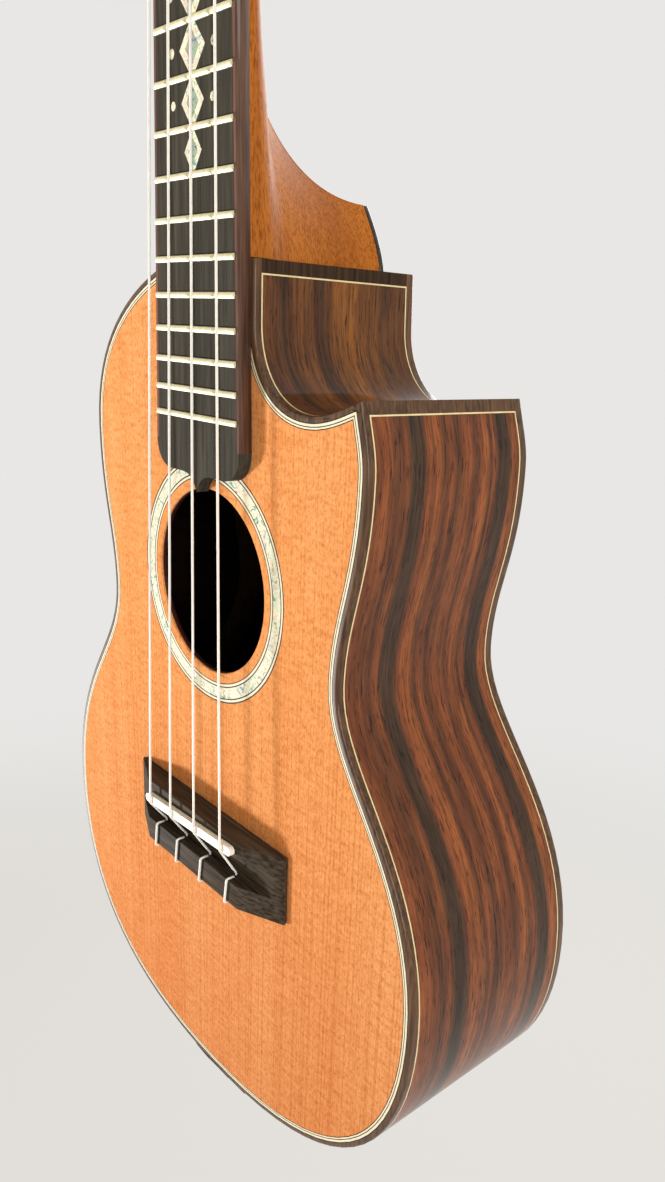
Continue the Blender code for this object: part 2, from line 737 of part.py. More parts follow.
def make_frets():
    """A fret is a domed crown on a tang that drops into its slot."""
    crown = []
    for i in range(7):
        turn = math.pi * i / 6
        crown.append((CROWN_WIDTH / 2 * math.cos(turn), SEAT_GAP + CROWN_HEIGHT * math.sin(turn)))
    half_tang = TANG_THICKNESS / 2
    tang = [(-half_tang, SEAT_GAP), (-half_tang, -TANG_DEPTH), (half_tang, -TANG_DEPTH), (half_tang, SEAT_GAP)]
    for number in range(1, FRET_COUNT + 1):
        y = fret_y(number)
        half = fretboard_half(y) - FRETBOARD_BINDING
        mesh = prism(f"fret_{number:02d}", [crown + tang], -half, half)
        place = (0, y, FRETBOARD_TOP)
        turn = (math.radians(90), 0, math.radians(90))
        new_object(f"fret_{number:02d}", mesh, ((0.80, 0.70, 0.42), 0.3, 0.8), upright, place, turn)


def nut_break_turn(index):
    """The turn of a string, down and sideways, where it leaves the nut for its post."""
    run = post_departure(index) - nut_point(index)
    down = math.atan2(-run.z, math.hypot(run.x, run.y))
    return -down, 0, -math.atan2(run.x, run.y)


def make_nut():
    mesh = box_mesh("nut", (-NUT_WIDTH / 2, 0, GLUE_GAP), (NUT_WIDTH / 2, NUT_LENGTH, NUT_HEIGHT))
    nut = new_object("nut", mesh, ((0.86, 0.84, 0.76), 0.35), upright)
    bevel(nut, 0.4 * MM)
    half = STRING_RADIUS + STRING_GAP
    for index in range(STRING_COUNT):
        start = nut_point(index)
        slot = box_mesh(f"nut_slot_{index + 1}", (-half, -4 * MM, -half), (half, 8 * MM, 3 * MM))
        level = box_mesh(f"nut_mouth_{index + 1}", (-half, -4 * MM, -half), (half, 0, 3 * MM))
        cut(
            nut,
            new_cutter(slot.name, slot, upright, start, nut_break_turn(index)),
            new_cutter(level.name, level, upright, start),
        )


# Neck, heel and headstock


def neck_depth(y):
    """The neck's depth on its centre line, which thickens into the headstock."""
    thin = NECK_DEPTH_AT_NUT + (NECK_DEPTH_AT_HEEL - NECK_DEPTH_AT_NUT) * y / (JOINT_Y + HEEL_START)
    rise = max(0.0, 1 + (y - NUT_LENGTH) / (4 * NUT_LENGTH))
    return thin + rise**2 * (HEAD_THICKNESS - NECK_DEPTH_AT_NUT)


def heel_bottom():
    return back_depth(JOINT_Y) - HEEL_CAP_THICKNESS - GLUE_GAP


def heel_profile(steps):
    """(y, depth) of the heel's front edge on the centre line, from the neck down to the cap."""
    start = (JOINT_Y + HEEL_START, NECK_DEPTH_AT_HEEL)
    end = (JOINT_Y + HEEL_SPAN, heel_bottom())
    return bezier(
        start,
        (start[0] - HEEL_SWEEP, start[1]),
        (end[0], NECK_DEPTH_AT_HEEL + HEEL_DROP),
        end,
        steps,
    ) + [end]


def heel_front(depth):
    """Where the heel's front edge lies along the neck at a depth."""
    profile = heel_profile(60)
    ys = [y for y, _ in profile]
    depths = [d for _, d in profile]
    return float(np.interp(depth, depths, ys))


def heel_half(depth):
    """Half the heel's width where it meets the body, at a depth."""
    share = min(1.0, depth / heel_bottom())
    return HEEL_HALF + (JOINT_WIDTH / 2 - HEEL_HALF) * (1 - share) ** HEEL_FLARE


def neck_half(y, depth):
    """Half the neck's width at a depth: the round shaft, coved towards the body, and the pointed heel."""
    near = min(1.0, max(0.0, (JOINT_Y + HEEL_START - y) / (HEEL_START - HEEL_SPAN)))
    near = near * near * (3 - 2 * near)
    share = min(1.0, depth / (neck_depth(y) + near * COVE_DEPTH))
    root = 1 / NECK_ROUNDNESS + near * (COVE_POWER - 1 / NECK_ROUNDNESS)
    shaft = (1 - share**NECK_ROUNDNESS) ** root
    front = heel_front(depth)
    along = min(1.0, max(0.0, (y - JOINT_Y) / (front - JOINT_Y)))
    heel = min(1.0, heel_half(depth) / fretboard_half(y) * (1 - along**HEEL_POINT))
    return fretboard_half(y) * math.sqrt(1 - (1 - shaft**2) * (1 - heel**2))


def neck_ring(y, depth, halves=10):
    """One cross-section: the flat under the fretboard, then down one side and up the other."""
    right = []
    for i in range(halves + 1):
        level = depth * math.sin(math.pi / 2 * i / halves) ** 1.15
        right.append((max(neck_half(y, level), THINNEST_HALF), y, -level))
    left = [(-x, place, z) for x, place, z in reversed(right)]
    return right + left


def make_neck():
    profile = heel_profile(16)
    first_rings = (NUT_LENGTH + 0.5 * MM, -NECK_FIRST_RINGS[0], -NECK_FIRST_RINGS[1])
    rings = [neck_ring(y, neck_depth(y)) for y in first_rings]
    rings += [neck_ring(y, depth) for y, depth in profile]
    foot = JOINT_Y + GLUE_GAP
    for share in (0.75, 0.45, 0.2, 0):
        rings.append(neck_ring(foot + share * HEEL_SPAN, heel_bottom()))
    shaft = loft_mesh("neck_shaft", rings)
    head = prism("headstock", [headstock_plan(0)], -HEAD_THICKNESS, 0)
    head.transform(HEAD_MATRIX)
    neck = new_object("neck", joined_mesh("neck", shaft, [head]), WOODS["mahogany"], upright)
    for name, x, y in post_places():
        hole = cylinder_mesh(f"{name}_hole", POST_RADIUS + RUNNING_GAP, -HEAD_THICKNESS - MM, MM)
        cut(neck, new_cutter(hole.name, hole, headstock, (x, y, 0)))


def headstock_plan(start):
    """The headstock's outline in its own plane, with a small ogee crest like the fretboard's end."""
    shoulder_y = HEAD_LENGTH - 1.6 * HEAD_CREST
    half = [(NUT_WIDTH / 2, start)]
    half += bezier(
        (NUT_WIDTH / 2, start + 2 * MM),
        (NUT_WIDTH / 2, HEAD_FLARE_LENGTH * 0.6),
        (HEAD_FLARE_HALF, HEAD_FLARE_LENGTH * 0.5),
        (HEAD_FLARE_HALF, HEAD_FLARE_LENGTH),
        6,
    )
    half += [(HEAD_FLARE_HALF, HEAD_FLARE_LENGTH)]
    corner = (HEAD_TOP_HALF, shoulder_y)
    shoulder = (0.6 * HEAD_TOP_HALF, HEAD_LENGTH - HEAD_CREST)
    half += bezier(
        corner,
        (HEAD_TOP_HALF, shoulder_y + 0.5 * HEAD_CREST),
        (shoulder[0] + HEAD_SHOULDER_SWEEP[0], shoulder[1]),
        shoulder,
        5,
    )
    shoulder_in = (shoulder[0] - HEAD_SHOULDER_SWEEP[1], shoulder[1])
    tip_handle = (HEAD_TIP_SWEEP[0], HEAD_LENGTH - HEAD_TIP_SWEEP[1])
    half += bezier(shoulder, shoulder_in, tip_handle, (0, HEAD_LENGTH), 6)
    return half + [(0, HEAD_LENGTH)] + [(-x, y) for x, y in reversed(half)]


def make_veneer():
    start = 1.2 * MM
    mesh = prism("headstock_veneer", [headstock_plan(start)], GLUE_GAP, GLUE_GAP + HEAD_VENEER)
    veneer = new_object("headstock_veneer", mesh, WOODS["rosewood"], headstock)
    for name, x, y in post_places():
        low, high = GLUE_GAP - MM, GLUE_GAP + HEAD_VENEER + MM
        hole = cylinder_mesh(f"{name}_veneer_hole", POST_RADIUS + RUNNING_GAP, low, high)
        cut(veneer, new_cutter(hole.name, hole, headstock, (x, y, 0)))


def make_heel_cap():
    foot = JOINT_Y + GLUE_GAP
    halves = []
    for i in range(9):
        along = i / 8
        y = foot + along * (HEEL_SPAN - GLUE_GAP)
        halves.append((HEEL_HALF * (1 - along**HEEL_POINT), y))
    plan = halves + [(-x, y) for x, y in reversed(halves[:-1])]
    low = -heel_bottom() - GLUE_GAP - HEEL_CAP_THICKNESS
    mesh = prism("heel_cap", [plan], low, low + HEEL_CAP_THICKNESS)
    new_object("heel_cap", mesh, WOODS["ebony"], upright)


# Bridge and saddle


def saddle_plan(half, thickness):
    """A strip with round ends, about its own centre."""
    radius = thickness / 2
    points = []
    for side in (1, -1):
        for i in range(7):
            angle = math.pi / 2 * (i / 3 - 1) + (0 if side > 0 else math.pi)
            points.append((side * (half - radius) + radius * math.cos(angle), radius * math.sin(angle)))
    return points


def make_bridge():
    profile = [
        (BRIDGE_HALF, GLUE_GAP),
        (BRIDGE_HALF, BRIDGE_TIP_HEIGHT),
        (BRIDGE_BLOCK_HALF, BRIDGE_HEIGHT),
    ]
    outline = profile + [(-x, z) for x, z in reversed(profile)]
    mesh = prism("bridge", [outline], -BRIDGE_FRONT_Y, -BRIDGE_REAR_Y)
    bridge = new_object("bridge", mesh, WOODS["ebony"], upright, (0, 0, 0), (math.radians(90), 0, 0))
    bevel(bridge, 0.4 * MM)
    channel_front = SADDLE_Y - SADDLE_THICKNESS / 2 - GLUE_GAP - CHANNEL_SETBACK
    section = [
        (TIE_FRONT_Y, CHANNEL_FLOOR),
        (channel_front - CHANNEL_WALL_LEAN, CHANNEL_FLOOR),
        (channel_front, BRIDGE_HEIGHT + MM),
        (TIE_FRONT_Y, BRIDGE_HEIGHT + MM),
    ]
    reach = BRIDGE_HALF + MM
    channel = prism("bridge_channel", [section], -reach, reach)
    for vertex in channel.vertices:
        if vertex.co.x > TIE_FRONT_Y + MM:
            vertex.co.x += vertex.co.z * math.tan(SADDLE_SLANT)
    turn = (math.radians(90), 0, math.radians(90))
    cut(bridge, new_cutter("bridge_channel", channel, upright, (0, 0, 0), turn))
    plan = saddle_plan(SADDLE_HALF + GLUE_GAP, SADDLE_THICKNESS + 2 * GLUE_GAP)
    slot = prism("saddle_slot", [plan], SADDLE_SLOT_FLOOR, BRIDGE_HEIGHT + MM)
    place = (0, SADDLE_Y, 0)
    cut(bridge, new_cutter("saddle_slot", slot, upright, place, (0, 0, SADDLE_SLANT)))
    for index in range(STRING_COUNT):
        x = STRINGS_AT_SADDLE[index]
        length = TIE_BLOCK_WIDTH + 2 * MM
        hole = cylinder_mesh(f"tie_hole_{index + 1}", STRING_RADIUS + STRING_GAP * 2, -length, 2 * MM, 10)
        middle = (x, BRIDGE_REAR_Y, TIE_HOLE_HEIGHT)
        cut(bridge, new_cutter(hole.name, hole, upright, middle, (math.radians(90), 0, 0)))


def make_saddle():
    rings = []
    for drop, narrowing in ((None, 0), (1, 0), (0.4, 0.35), (0, 1)):
        level = SADDLE_SLOT_FLOOR + GLUE_GAP if drop is None else SADDLE_CREST - drop * SADDLE_EDGE
        inset = narrowing * SADDLE_EDGE
        plan = saddle_plan(SADDLE_HALF - inset, SADDLE_THICKNESS - 2 * inset)
        rings.append([(x, y, level) for x, y in plan])
    mesh = loft_mesh("saddle", rings)
    look = ((0.90, 0.89, 0.82), 0.3)
    new_object("saddle", mesh, look, upright, (0, SADDLE_Y, 0), (0, 0, SADDLE_SLANT))


# Strings


def saddle_point(index):
    """Where a string breaks down over the rear of the saddle's crest."""
    x = STRINGS_AT_SADDLE[index]
    y = SADDLE_Y - SADDLE_BREAK + x * math.tan(SADDLE_SLANT)
    return Vector((x, y, STRING_HEIGHT_AT_SADDLE))


def nut_point(index):
    x = STRINGS_AT_NUT[index]
    return Vector((x, 0.6 * MM, STRING_HEIGHT_AT_NUT))


def string_post(index):
    """The outer strings wind on the lower posts and the inner ones on the upper posts."""
    side = 1 if index < STRING_COUNT / 2 else -1
    outer = index in (0, STRING_COUNT - 1)
    return side, POST_ROWS[0] if outer else POST_ROWS[1]


def coil_radius():
    return POST_WAIST_RADIUS + STRING_GAP + STRING_RADIUS


def coil_low():
    return POST_WAIST_LOW + STRING_GAP + STRING_RADIUS


def departure_angle(index):
    """Where a string leaves its post for the nut, as an angle in the headstock's plane."""
    side, row = string_post(index)
    nut_in_head = HEAD_MATRIX.inverted() @ nut_point(index)
    to_nut = Vector((nut_in_head.x - side * POST_SPREAD, nut_in_head.y - row))
    heading = math.atan2(to_nut.y, to_nut.x)
    return heading - side * math.acos(coil_radius() / to_nut.length)


def post_departure(index):
    side, row = string_post(index)
    angle = departure_angle(index)
    radius = coil_radius()
    place = Vector((side * POST_SPREAD + radius * math.cos(angle), row + radius * math.sin(angle), coil_low()))
    return HEAD_MATRIX @ place


def coil_points(index):
    """The turns round the post, climbing from where the string arrives."""
    side, row = string_post(index)
    start = departure_angle(index)
    radius = coil_radius()
    points = []
    for i in range(COIL_TURNS * LOOP_POINTS + 1):
        turns = i / LOOP_POINTS
        angle = start - side * 2 * math.pi * turns
        height = coil_low() + COIL_PITCH * turns
        place = Vector(
            (side * POST_SPREAD + radius * math.cos(angle), row + radius * math.sin(angle), height)
        )
        points.append(HEAD_MATRIX @ place)
    return points


def rounded_route(corners, radius, steps=4):
    """A route through corners, each turned with a small arc."""
    route = [corners[0]]
    for before, corner, after in zip(corners, corners[1:], corners[2:]):
        back = (before - corner).normalized()
        ahead = (after - corner).normalized()
        bend = math.pi - back.angle(ahead)
        if bend < math.radians(1):
            route.append(corner)
            continue
        reach = min(radius * math.tan(bend / 2), 0.45 * (before - corner).length, 0.45 * (after - corner).length)
        middle = (back + ahead).normalized()
        arc_radius = reach / math.tan(bend / 2)
        centre = corner + middle * (reach / math.sin(bend / 2))
        for i in range(steps + 1):
            blend = -1 + 2 * i / steps
            turn = blend * bend / 2
            side = (ahead - back).normalized()
            route.append(centre - middle * arc_radius * math.cos(turn) + side * arc_radius * math.sin(turn))
    route.append(corners[-1])
    return route


def tie_corners(index):
    """The loop over the tie block: up the back, over the top and down in front."""
    x = STRINGS_AT_SADDLE[index]
    aside = 1.5 * MM
    clear = STRING_RADIUS + STRING_GAP
    over = BRIDGE_HEIGHT + clear
    front = TIE_FRONT_Y + clear
    rear = BRIDGE_REAR_Y - clear
    return [
        Vector((x + aside, front, TIE_HOLE_HEIGHT + 2 * MM)),
        Vector((x + aside, front, over)),
        Vector((x, rear, over)),
        Vector((x, rear, TIE_HOLE_HEIGHT)),
        Vector((x, TIE_FRONT_Y + 0.6 * MM, TIE_HOLE_HEIGHT)),
    ]


def string_route(index):
    corners = tie_corners(index) + [saddle_point(index), nut_point(index), post_departure(index)]
    return rounded_route(corners, STRING_BEND)[:-1] + coil_points(index)


def least_self_gap(points, diameter):
    """The least clear distance between stretches of a tube that aren't next to each other."""
    places = np.array([tuple(point) for point in points])
    steps = np.linalg.norm(np.diff(places, axis=0), axis=1)
    along = np.concatenate([[0], np.cumsum(steps)])
    gap = math.inf
    for i in range(len(places)):
        far = np.abs(along - along[i]) > 6 * diameter
        if far.any():
            gap = min(gap, float(np.linalg.norm(places[far] - places[i], axis=1).min()) - diameter)
    return gap


def make_strings():
    for index in range(STRING_COUNT):
        route = string_route(index)
        gap = least_self_gap(route, STRING_DIAMETER)
        print(f"string {index + 1} comes no nearer to itself than {gap / MM:.2f} mm")
        mesh = tube_mesh(f"string_{index + 1}", route, STRING_RADIUS, 1)
        mesh.shade_smooth()
        new_object(f"string_{index + 1}", mesh, ((0.88, 0.88, 0.86), 0.3), upright)


# Tuners


def post_places():
    places = []
    for index in range(STRING_COUNT):
        side, row = string_post(index)
        places.append((f"tuner_{index + 1}", side * POST_SPREAD, row))
    return places


def gear_plan():
    """A worm wheel's outline, with a gap towards -y where the worm lies."""
    pitch = 2 * math.pi / GEAR_TEETH
    tip = GEAR_PITCH_RADIUS + GEAR_ADDENDUM
    root = GEAR_PITCH_RADIUS - GEAR_DEDENDUM
    points = []
    for tooth in range(GEAR_TEETH):
        centre = -math.pi / 2 + pitch * (tooth + 0.5)
        for radius, share in ((root, -0.25), (tip, -0.1), (tip, 0.1), (root, 0.25)):
            angle = centre + share * pitch
            points.append((radius * math.cos(angle), radius * math.sin(angle)))
    return points


def post_mesh():
    """The string post with its worm wheel. Its frame is the post's own, on the headstock's face."""
    top = POST_HEIGHT
    gear_top = WORM_Z + GEAR_THICKNESS / 2
    gear_bottom = WORM_Z - GEAR_THICKNESS / 2
    profile = [
        (0, top),
        (POST_RADIUS - 0.6 * MM, top),
        (POST_RADIUS, top - 0.6 * MM),
        (POST_RADIUS, POST_WAIST_HIGH + 0.5 * MM),
        (POST_WAIST_RADIUS, POST_WAIST_HIGH),
        (POST_WAIST_RADIUS, POST_WAIST_LOW),
        (POST_RADIUS, POST_WAIST_LOW - 0.5 * MM),
        (POST_RADIUS, gear_bottom - 1.0 * MM),
        (0, gear_bottom - 1.0 * MM),
    ]
    post = turned_mesh("post", profile, 16)
    wheel = prism("worm_wheel", [gear_plan()], gear_bottom, gear_top)
    return joined_mesh("post_and_wheel", post, [wheel])


def worm_points():
    points = []
    steps = 8
    radius = WORM_SHAFT_RADIUS + WORM_THREAD_RADIUS - WORM_THREAD_SINK
    lead = 2 * math.pi * GEAR_PITCH_RADIUS / GEAR_TEETH
    for i in range(WORM_TURNS * steps + 1):
        turns = i / steps - WORM_TURNS / 2
        angle = 2 * math.pi * turns
        points.append(Vector((radius * math.cos(angle), radius * math.sin(angle), lead * turns)))
    return points


def edge_distance():
    """From a post's axis out to the headstock's edge, along the worm shaft."""
    return HEAD_TOP_HALF - POST_SPREAD


def button_mesh():
    """Worm, shaft and button in one frame: z runs out along the shaft, x points at the post."""
    button_start = edge_distance() + BUTTON_OVERHANG
    profile = [
        (0, button_start + 2 * MM),
        (2.6 * MM, button_start + 2 * MM),
        (2.6 * MM, button_start - 1.0 * MM),
        (WORM_SHAFT_RADIUS, button_start - 1.6 * MM),
        (WORM_SHAFT_RADIUS, -EAR_OFFSET - EAR_THICKNESS / 2 - 0.5 * MM),
        (0, -EAR_OFFSET - EAR_THICKNESS / 2 - 0.5 * MM),
    ]
    shaft = turned_mesh("worm_shaft", profile, 12)
    thread = tube_mesh("worm_thread", worm_points(), WORM_THREAD_RADIUS, 0, "Z_UP")
    build = bmesh.new()
    bmesh.ops.create_uvsphere(build, u_segments=14, v_segments=8, radius=1.0)
    size = (BUTTON_HALF_THICKNESS, BUTTON_HALF_WIDTH, BUTTON_LENGTH / 2)
    bmesh.ops.scale(build, vec=size, verts=build.verts)
    bmesh.ops.translate(build, vec=(0, 0, button_start + BUTTON_LENGTH / 2), verts=build.verts)
    knob = bpy.data.meshes.new("knob")
    build.to_mesh(knob)
    build.free()
    return joined_mesh("button_and_worm", shaft, [thread, knob])


def plate_mesh():
    """The tuner's base plate with its two ears, about the post's axis."""
    half = TUNER_PLATE_HALF_WIDTH
    ear_low = -WORM_OFFSET - EAR_HALF
    plan = rectangle(-EAR_OFFSET - EAR_THICKNESS / 2, ear_low, EAR_OFFSET + EAR_THICKNESS / 2, half)
    plate = prism("base_plate", [plan], PLATE_BOTTOM, PLATE_TOP)
    ears = []
    for side in (-1, 1):
        inner, outer = EAR_OFFSET - EAR_THICKNESS / 2, EAR_OFFSET + EAR_THICKNESS / 2
        low = (min(side * inner, side * outer), ear_low, WORM_Z - EAR_HALF)
        high = (max(side * inner, side * outer), ear_low + 2 * EAR_HALF, PLATE_BOTTOM + 0.4 * MM)
        ears.append(box_mesh("ear", low, high))
    return joined_mesh("plate", plate, ears)


def make_tuners():
    """Each tuner is a fixed plate, a button whose worm turns in the ears, and a post with a wheel."""
    plate, post, button = plate_mesh(), post_mesh(), button_mesh()
    steel = ((0.62, 0.55, 0.38), 0.25, 1.0)
    for name, x, y in post_places():
        side = 1 if x > 0 else -1
        base = new_object(f"{name}_plate", plate.copy(), steel, headstock, (x, y, 0))
        hole = cylinder_mesh(f"{name}_plate_hole", POST_RADIUS + RUNNING_GAP, PLATE_BOTTOM - MM, PLATE_TOP + MM)
        bearing = cylinder_mesh(
            f"{name}_bearing", WORM_SHAFT_RADIUS + RUNNING_GAP, -2 * EAR_OFFSET, 2 * EAR_OFFSET, 12
        )
        cut(
            base,
            new_cutter(hole.name, hole, headstock, (x, y, 0)),
            new_cutter(
                bearing.name, bearing, headstock, (x, y - WORM_OFFSET, WORM_Z), (0, math.radians(90), 0)
            ),
        )
        new_post = new_object(f"{name}_post", post.copy(), steel, headstock, (x, y, 0))
        drill = cylinder_mesh(f"{name}_post_hole", POST_HOLE_RADIUS, -2 * POST_RADIUS, 2 * POST_RADIUS, 8)
        height = POST_WAIST_HIGH - POST_HOLE_RADIUS - 0.3 * MM
        cut(new_post, new_cutter(drill.name, drill, headstock, (x, y, height), (0, math.radians(90), 0)))
        outward = Matrix(((0, 0, side), (1, 0, 0), (0, side, 0)))
        knob = new_object(f"{name}_button", button.copy(), ((0.05, 0.045, 0.04), 0.3), headstock)
        knob.location = (x, y - WORM_OFFSET, WORM_Z)
        knob.rotation_euler = outward.to_euler()


clear_scene()
parts = new_collection("tenor_ukulele")
cutters = new_collection("cutters", hidden=True)
upright = new_empty("ukulele_frame", None, (0, 0, 0), (math.radians(90), 0, 0))
HEAD_MATRIX = Matrix.Translation((0, NUT_LENGTH + GLUE_GAP, 0)) @ Matrix.Rotation(-HEAD_TILT, 4, "X")
headstock = new_empty("headstock_frame", upright, HEAD_MATRIX.to_translation(), HEAD_MATRIX.to_euler())

make_soundboard()
make_rosette()
make_back()
make_sides()
make_bindings()
make_linings()
make_blocks()
make_braces()
make_neck()
make_veneer()
make_heel_cap()
make_fretboard()
make_frets()
make_nut()
make_bridge()
make_saddle()
make_strings()
make_tuners()
bpy.context.view_layer.update()
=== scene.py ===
"""The tenor ukulele dressed for its picture: woods, shell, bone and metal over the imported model.

Every piece is drawn with the instrument on its back, as its solids were: x to the treble side,
y along the neck, z out of the soundboard, and y = 0 at the nut. It is then stood up.
"""

import json
import math

import bpy
import numpy as np
from mathutils import Matrix, Vector

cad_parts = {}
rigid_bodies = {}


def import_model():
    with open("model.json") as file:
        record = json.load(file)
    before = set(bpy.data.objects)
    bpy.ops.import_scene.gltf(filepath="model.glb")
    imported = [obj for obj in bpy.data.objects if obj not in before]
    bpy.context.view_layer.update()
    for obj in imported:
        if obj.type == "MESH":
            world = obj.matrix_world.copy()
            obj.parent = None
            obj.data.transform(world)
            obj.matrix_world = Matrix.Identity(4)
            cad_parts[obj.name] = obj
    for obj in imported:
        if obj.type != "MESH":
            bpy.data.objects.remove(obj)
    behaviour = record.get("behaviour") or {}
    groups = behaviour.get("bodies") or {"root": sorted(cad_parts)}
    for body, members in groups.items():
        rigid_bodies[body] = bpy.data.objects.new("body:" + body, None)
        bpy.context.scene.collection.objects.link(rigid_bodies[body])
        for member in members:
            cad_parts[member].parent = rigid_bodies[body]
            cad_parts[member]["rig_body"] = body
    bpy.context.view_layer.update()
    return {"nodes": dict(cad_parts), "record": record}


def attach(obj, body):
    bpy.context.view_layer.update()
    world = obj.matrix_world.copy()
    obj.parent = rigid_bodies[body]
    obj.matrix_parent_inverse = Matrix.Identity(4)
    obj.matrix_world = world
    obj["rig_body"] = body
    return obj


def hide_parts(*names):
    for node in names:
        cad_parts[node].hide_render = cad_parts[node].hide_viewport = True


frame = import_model()

MM = 0.001
GAP = 0.3 * MM

# Sizes that the solids have too
SCALE_LENGTH = 432 * MM
JOINT_Y = -SCALE_LENGTH * (1 - 2 ** (-14 / 12))
BODY_LENGTH = 313 * MM
TAIL_Y = JOINT_Y - BODY_LENGTH
HOLE_Y = JOINT_Y - 104.9 * MM
HOLE_RADIUS = 32.6 * MM
DEPTH_AT_JOINT = 66 * MM
DEPTH_AT_TAIL = 79 * MM
TOP_THICKNESS = 2.4 * MM
WALL = 2.0 * MM
SKIN = 1.2 * MM
NUT_HALF = 17.5 * MM
JOINT_HALF = 23.7 * MM
BOARD_TOP = 4.8 * MM
SADDLE_Y = -435.7 * MM
SADDLE_SLANT = math.radians(3)
HEAD_TILT = math.radians(13)
HEAD_LENGTH = 104 * MM
HEAD_THICKNESS = 13 * MM
POST_PLACES = ((17, 33), (17, 74), (-17, 74), (-17, 33))
POST_HOLE = 3.25 * MM
VENEER = 1.8 * MM
NECK_AT_NUT = 9.3 * MM
NECK_AT_HEEL = 9.5 * MM
HEEL_START = 90 * MM
HEEL_SPAN = 23 * MM
HEEL_SWEEP = 38 * MM
HEEL_DROP = 19 * MM
HEEL_POINT = 1.45
THINNEST_HALF = 0.15 * MM
SHAFT_POWER = 2.2
COVE_DEPTH = 8 * MM
COVE_POWER = 1.4
HEEL_HALF = 10.5 * MM
HEEL_DEPTH = DEPTH_AT_JOINT - 2.1 * MM

# Trim
BINDING_WIDTH = 1.9 * MM
BINDING_ROUND = 0.8 * MM
FRONT_BINDING_HEIGHT = 2.7 * MM
REAR_BINDING_HEIGHT = 3.4 * MM
SIDE_LINE = 0.48 * MM
HORN_STRIP = 3.8 * MM
NECK_STRIP = 4.0 * MM
NECK_STRIP_PAST = 2.5 * MM
GRAFT_HALF = 6 * MM
BOARD_STRIP = 1.15 * MM
RED_STRIP = 0.3 * MM
INLAY_DEPTH = 0.5 * MM
PLATE_BACK = -14.5 * MM
WORM_LEVEL = -17.5 * MM
WORM_BELOW_POST = 7 * MM
KNOB_START = 16.5 * MM
KNOB_LENGTH = 15 * MM

UPRIGHT = Matrix.Rotation(math.radians(90), 4, "X")
HEAD = UPRIGHT @ Matrix.Translation((0, 5.3 * MM, 0)) @ Matrix.Rotation(-HEAD_TILT, 4, "X")


# Hands: selecting, applying and placing


def pick(obj):
    bpy.ops.object.select_all(action="DESELECT")
    obj.select_set(True)
    bpy.context.view_layer.objects.active = obj


def stand(obj, place=UPRIGHT):
    """Turns a piece drawn lying down into the upright frame, with its place in its mesh."""
    pick(obj)
    obj.matrix_world = place @ obj.matrix_world
    bpy.ops.object.transform_apply(location=True, rotation=True, scale=True)
    return obj


def clean(obj, fill=False):
    """Joins doubled points, closes open ends if asked, and turns every face outwards."""
    pick(obj)
    bpy.ops.object.mode_set(mode="EDIT")
    bpy.ops.mesh.select_all(action="SELECT")
    bpy.ops.mesh.remove_doubles(threshold=1e-6)
    if fill:
        bpy.ops.mesh.fill_holes(sides=0)
    bpy.ops.mesh.normals_make_consistent(inside=False)
    bpy.ops.object.mode_set(mode="OBJECT")


def smooth(obj, degrees=35):
    pick(obj)
    bpy.ops.object.shade_smooth_by_angle(angle=math.radians(degrees))


def round_edges(obj, chosen, width, segments):
    """Rounds the edges whose two ends are both chosen."""
    pick(obj)
    bpy.ops.object.mode_set(mode="EDIT")
    bpy.ops.mesh.select_mode(type="EDGE")
    bpy.ops.mesh.select_all(action="DESELECT")
    bpy.ops.object.mode_set(mode="OBJECT")
    points = obj.data.vertices
    for edge in obj.data.edges:
        edge.select = all(chosen(points[i].co) for i in edge.vertices)
    bpy.ops.object.mode_set(mode="EDIT")
    bpy.ops.mesh.bevel(offset=width, segments=segments, affect="EDGES")
    bpy.ops.object.mode_set(mode="OBJECT")


def soften(obj, width, degrees=40, segments=2):
    """Rounds every hard edge of a piece a little."""
    pick(obj)
    bevel = obj.modifiers.new("edges", "BEVEL")
    bevel.width = width
    bevel.segments = segments
    bevel.limit_method = "ANGLE"
    bevel.angle_limit = math.radians(degrees)
    bpy.ops.object.modifier_apply(modifier=bevel.name)


def belongs(obj, body, slot, finish, *nodes):
    """Gives a finished piece its body and its finish, and hides the solids that it stands for. slot
    is not used.
    """
    obj.data.materials.clear()
    obj.data.materials.append(finish)
    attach(obj, body)
    if nodes:
        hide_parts(*nodes)
    return obj


# Finishes


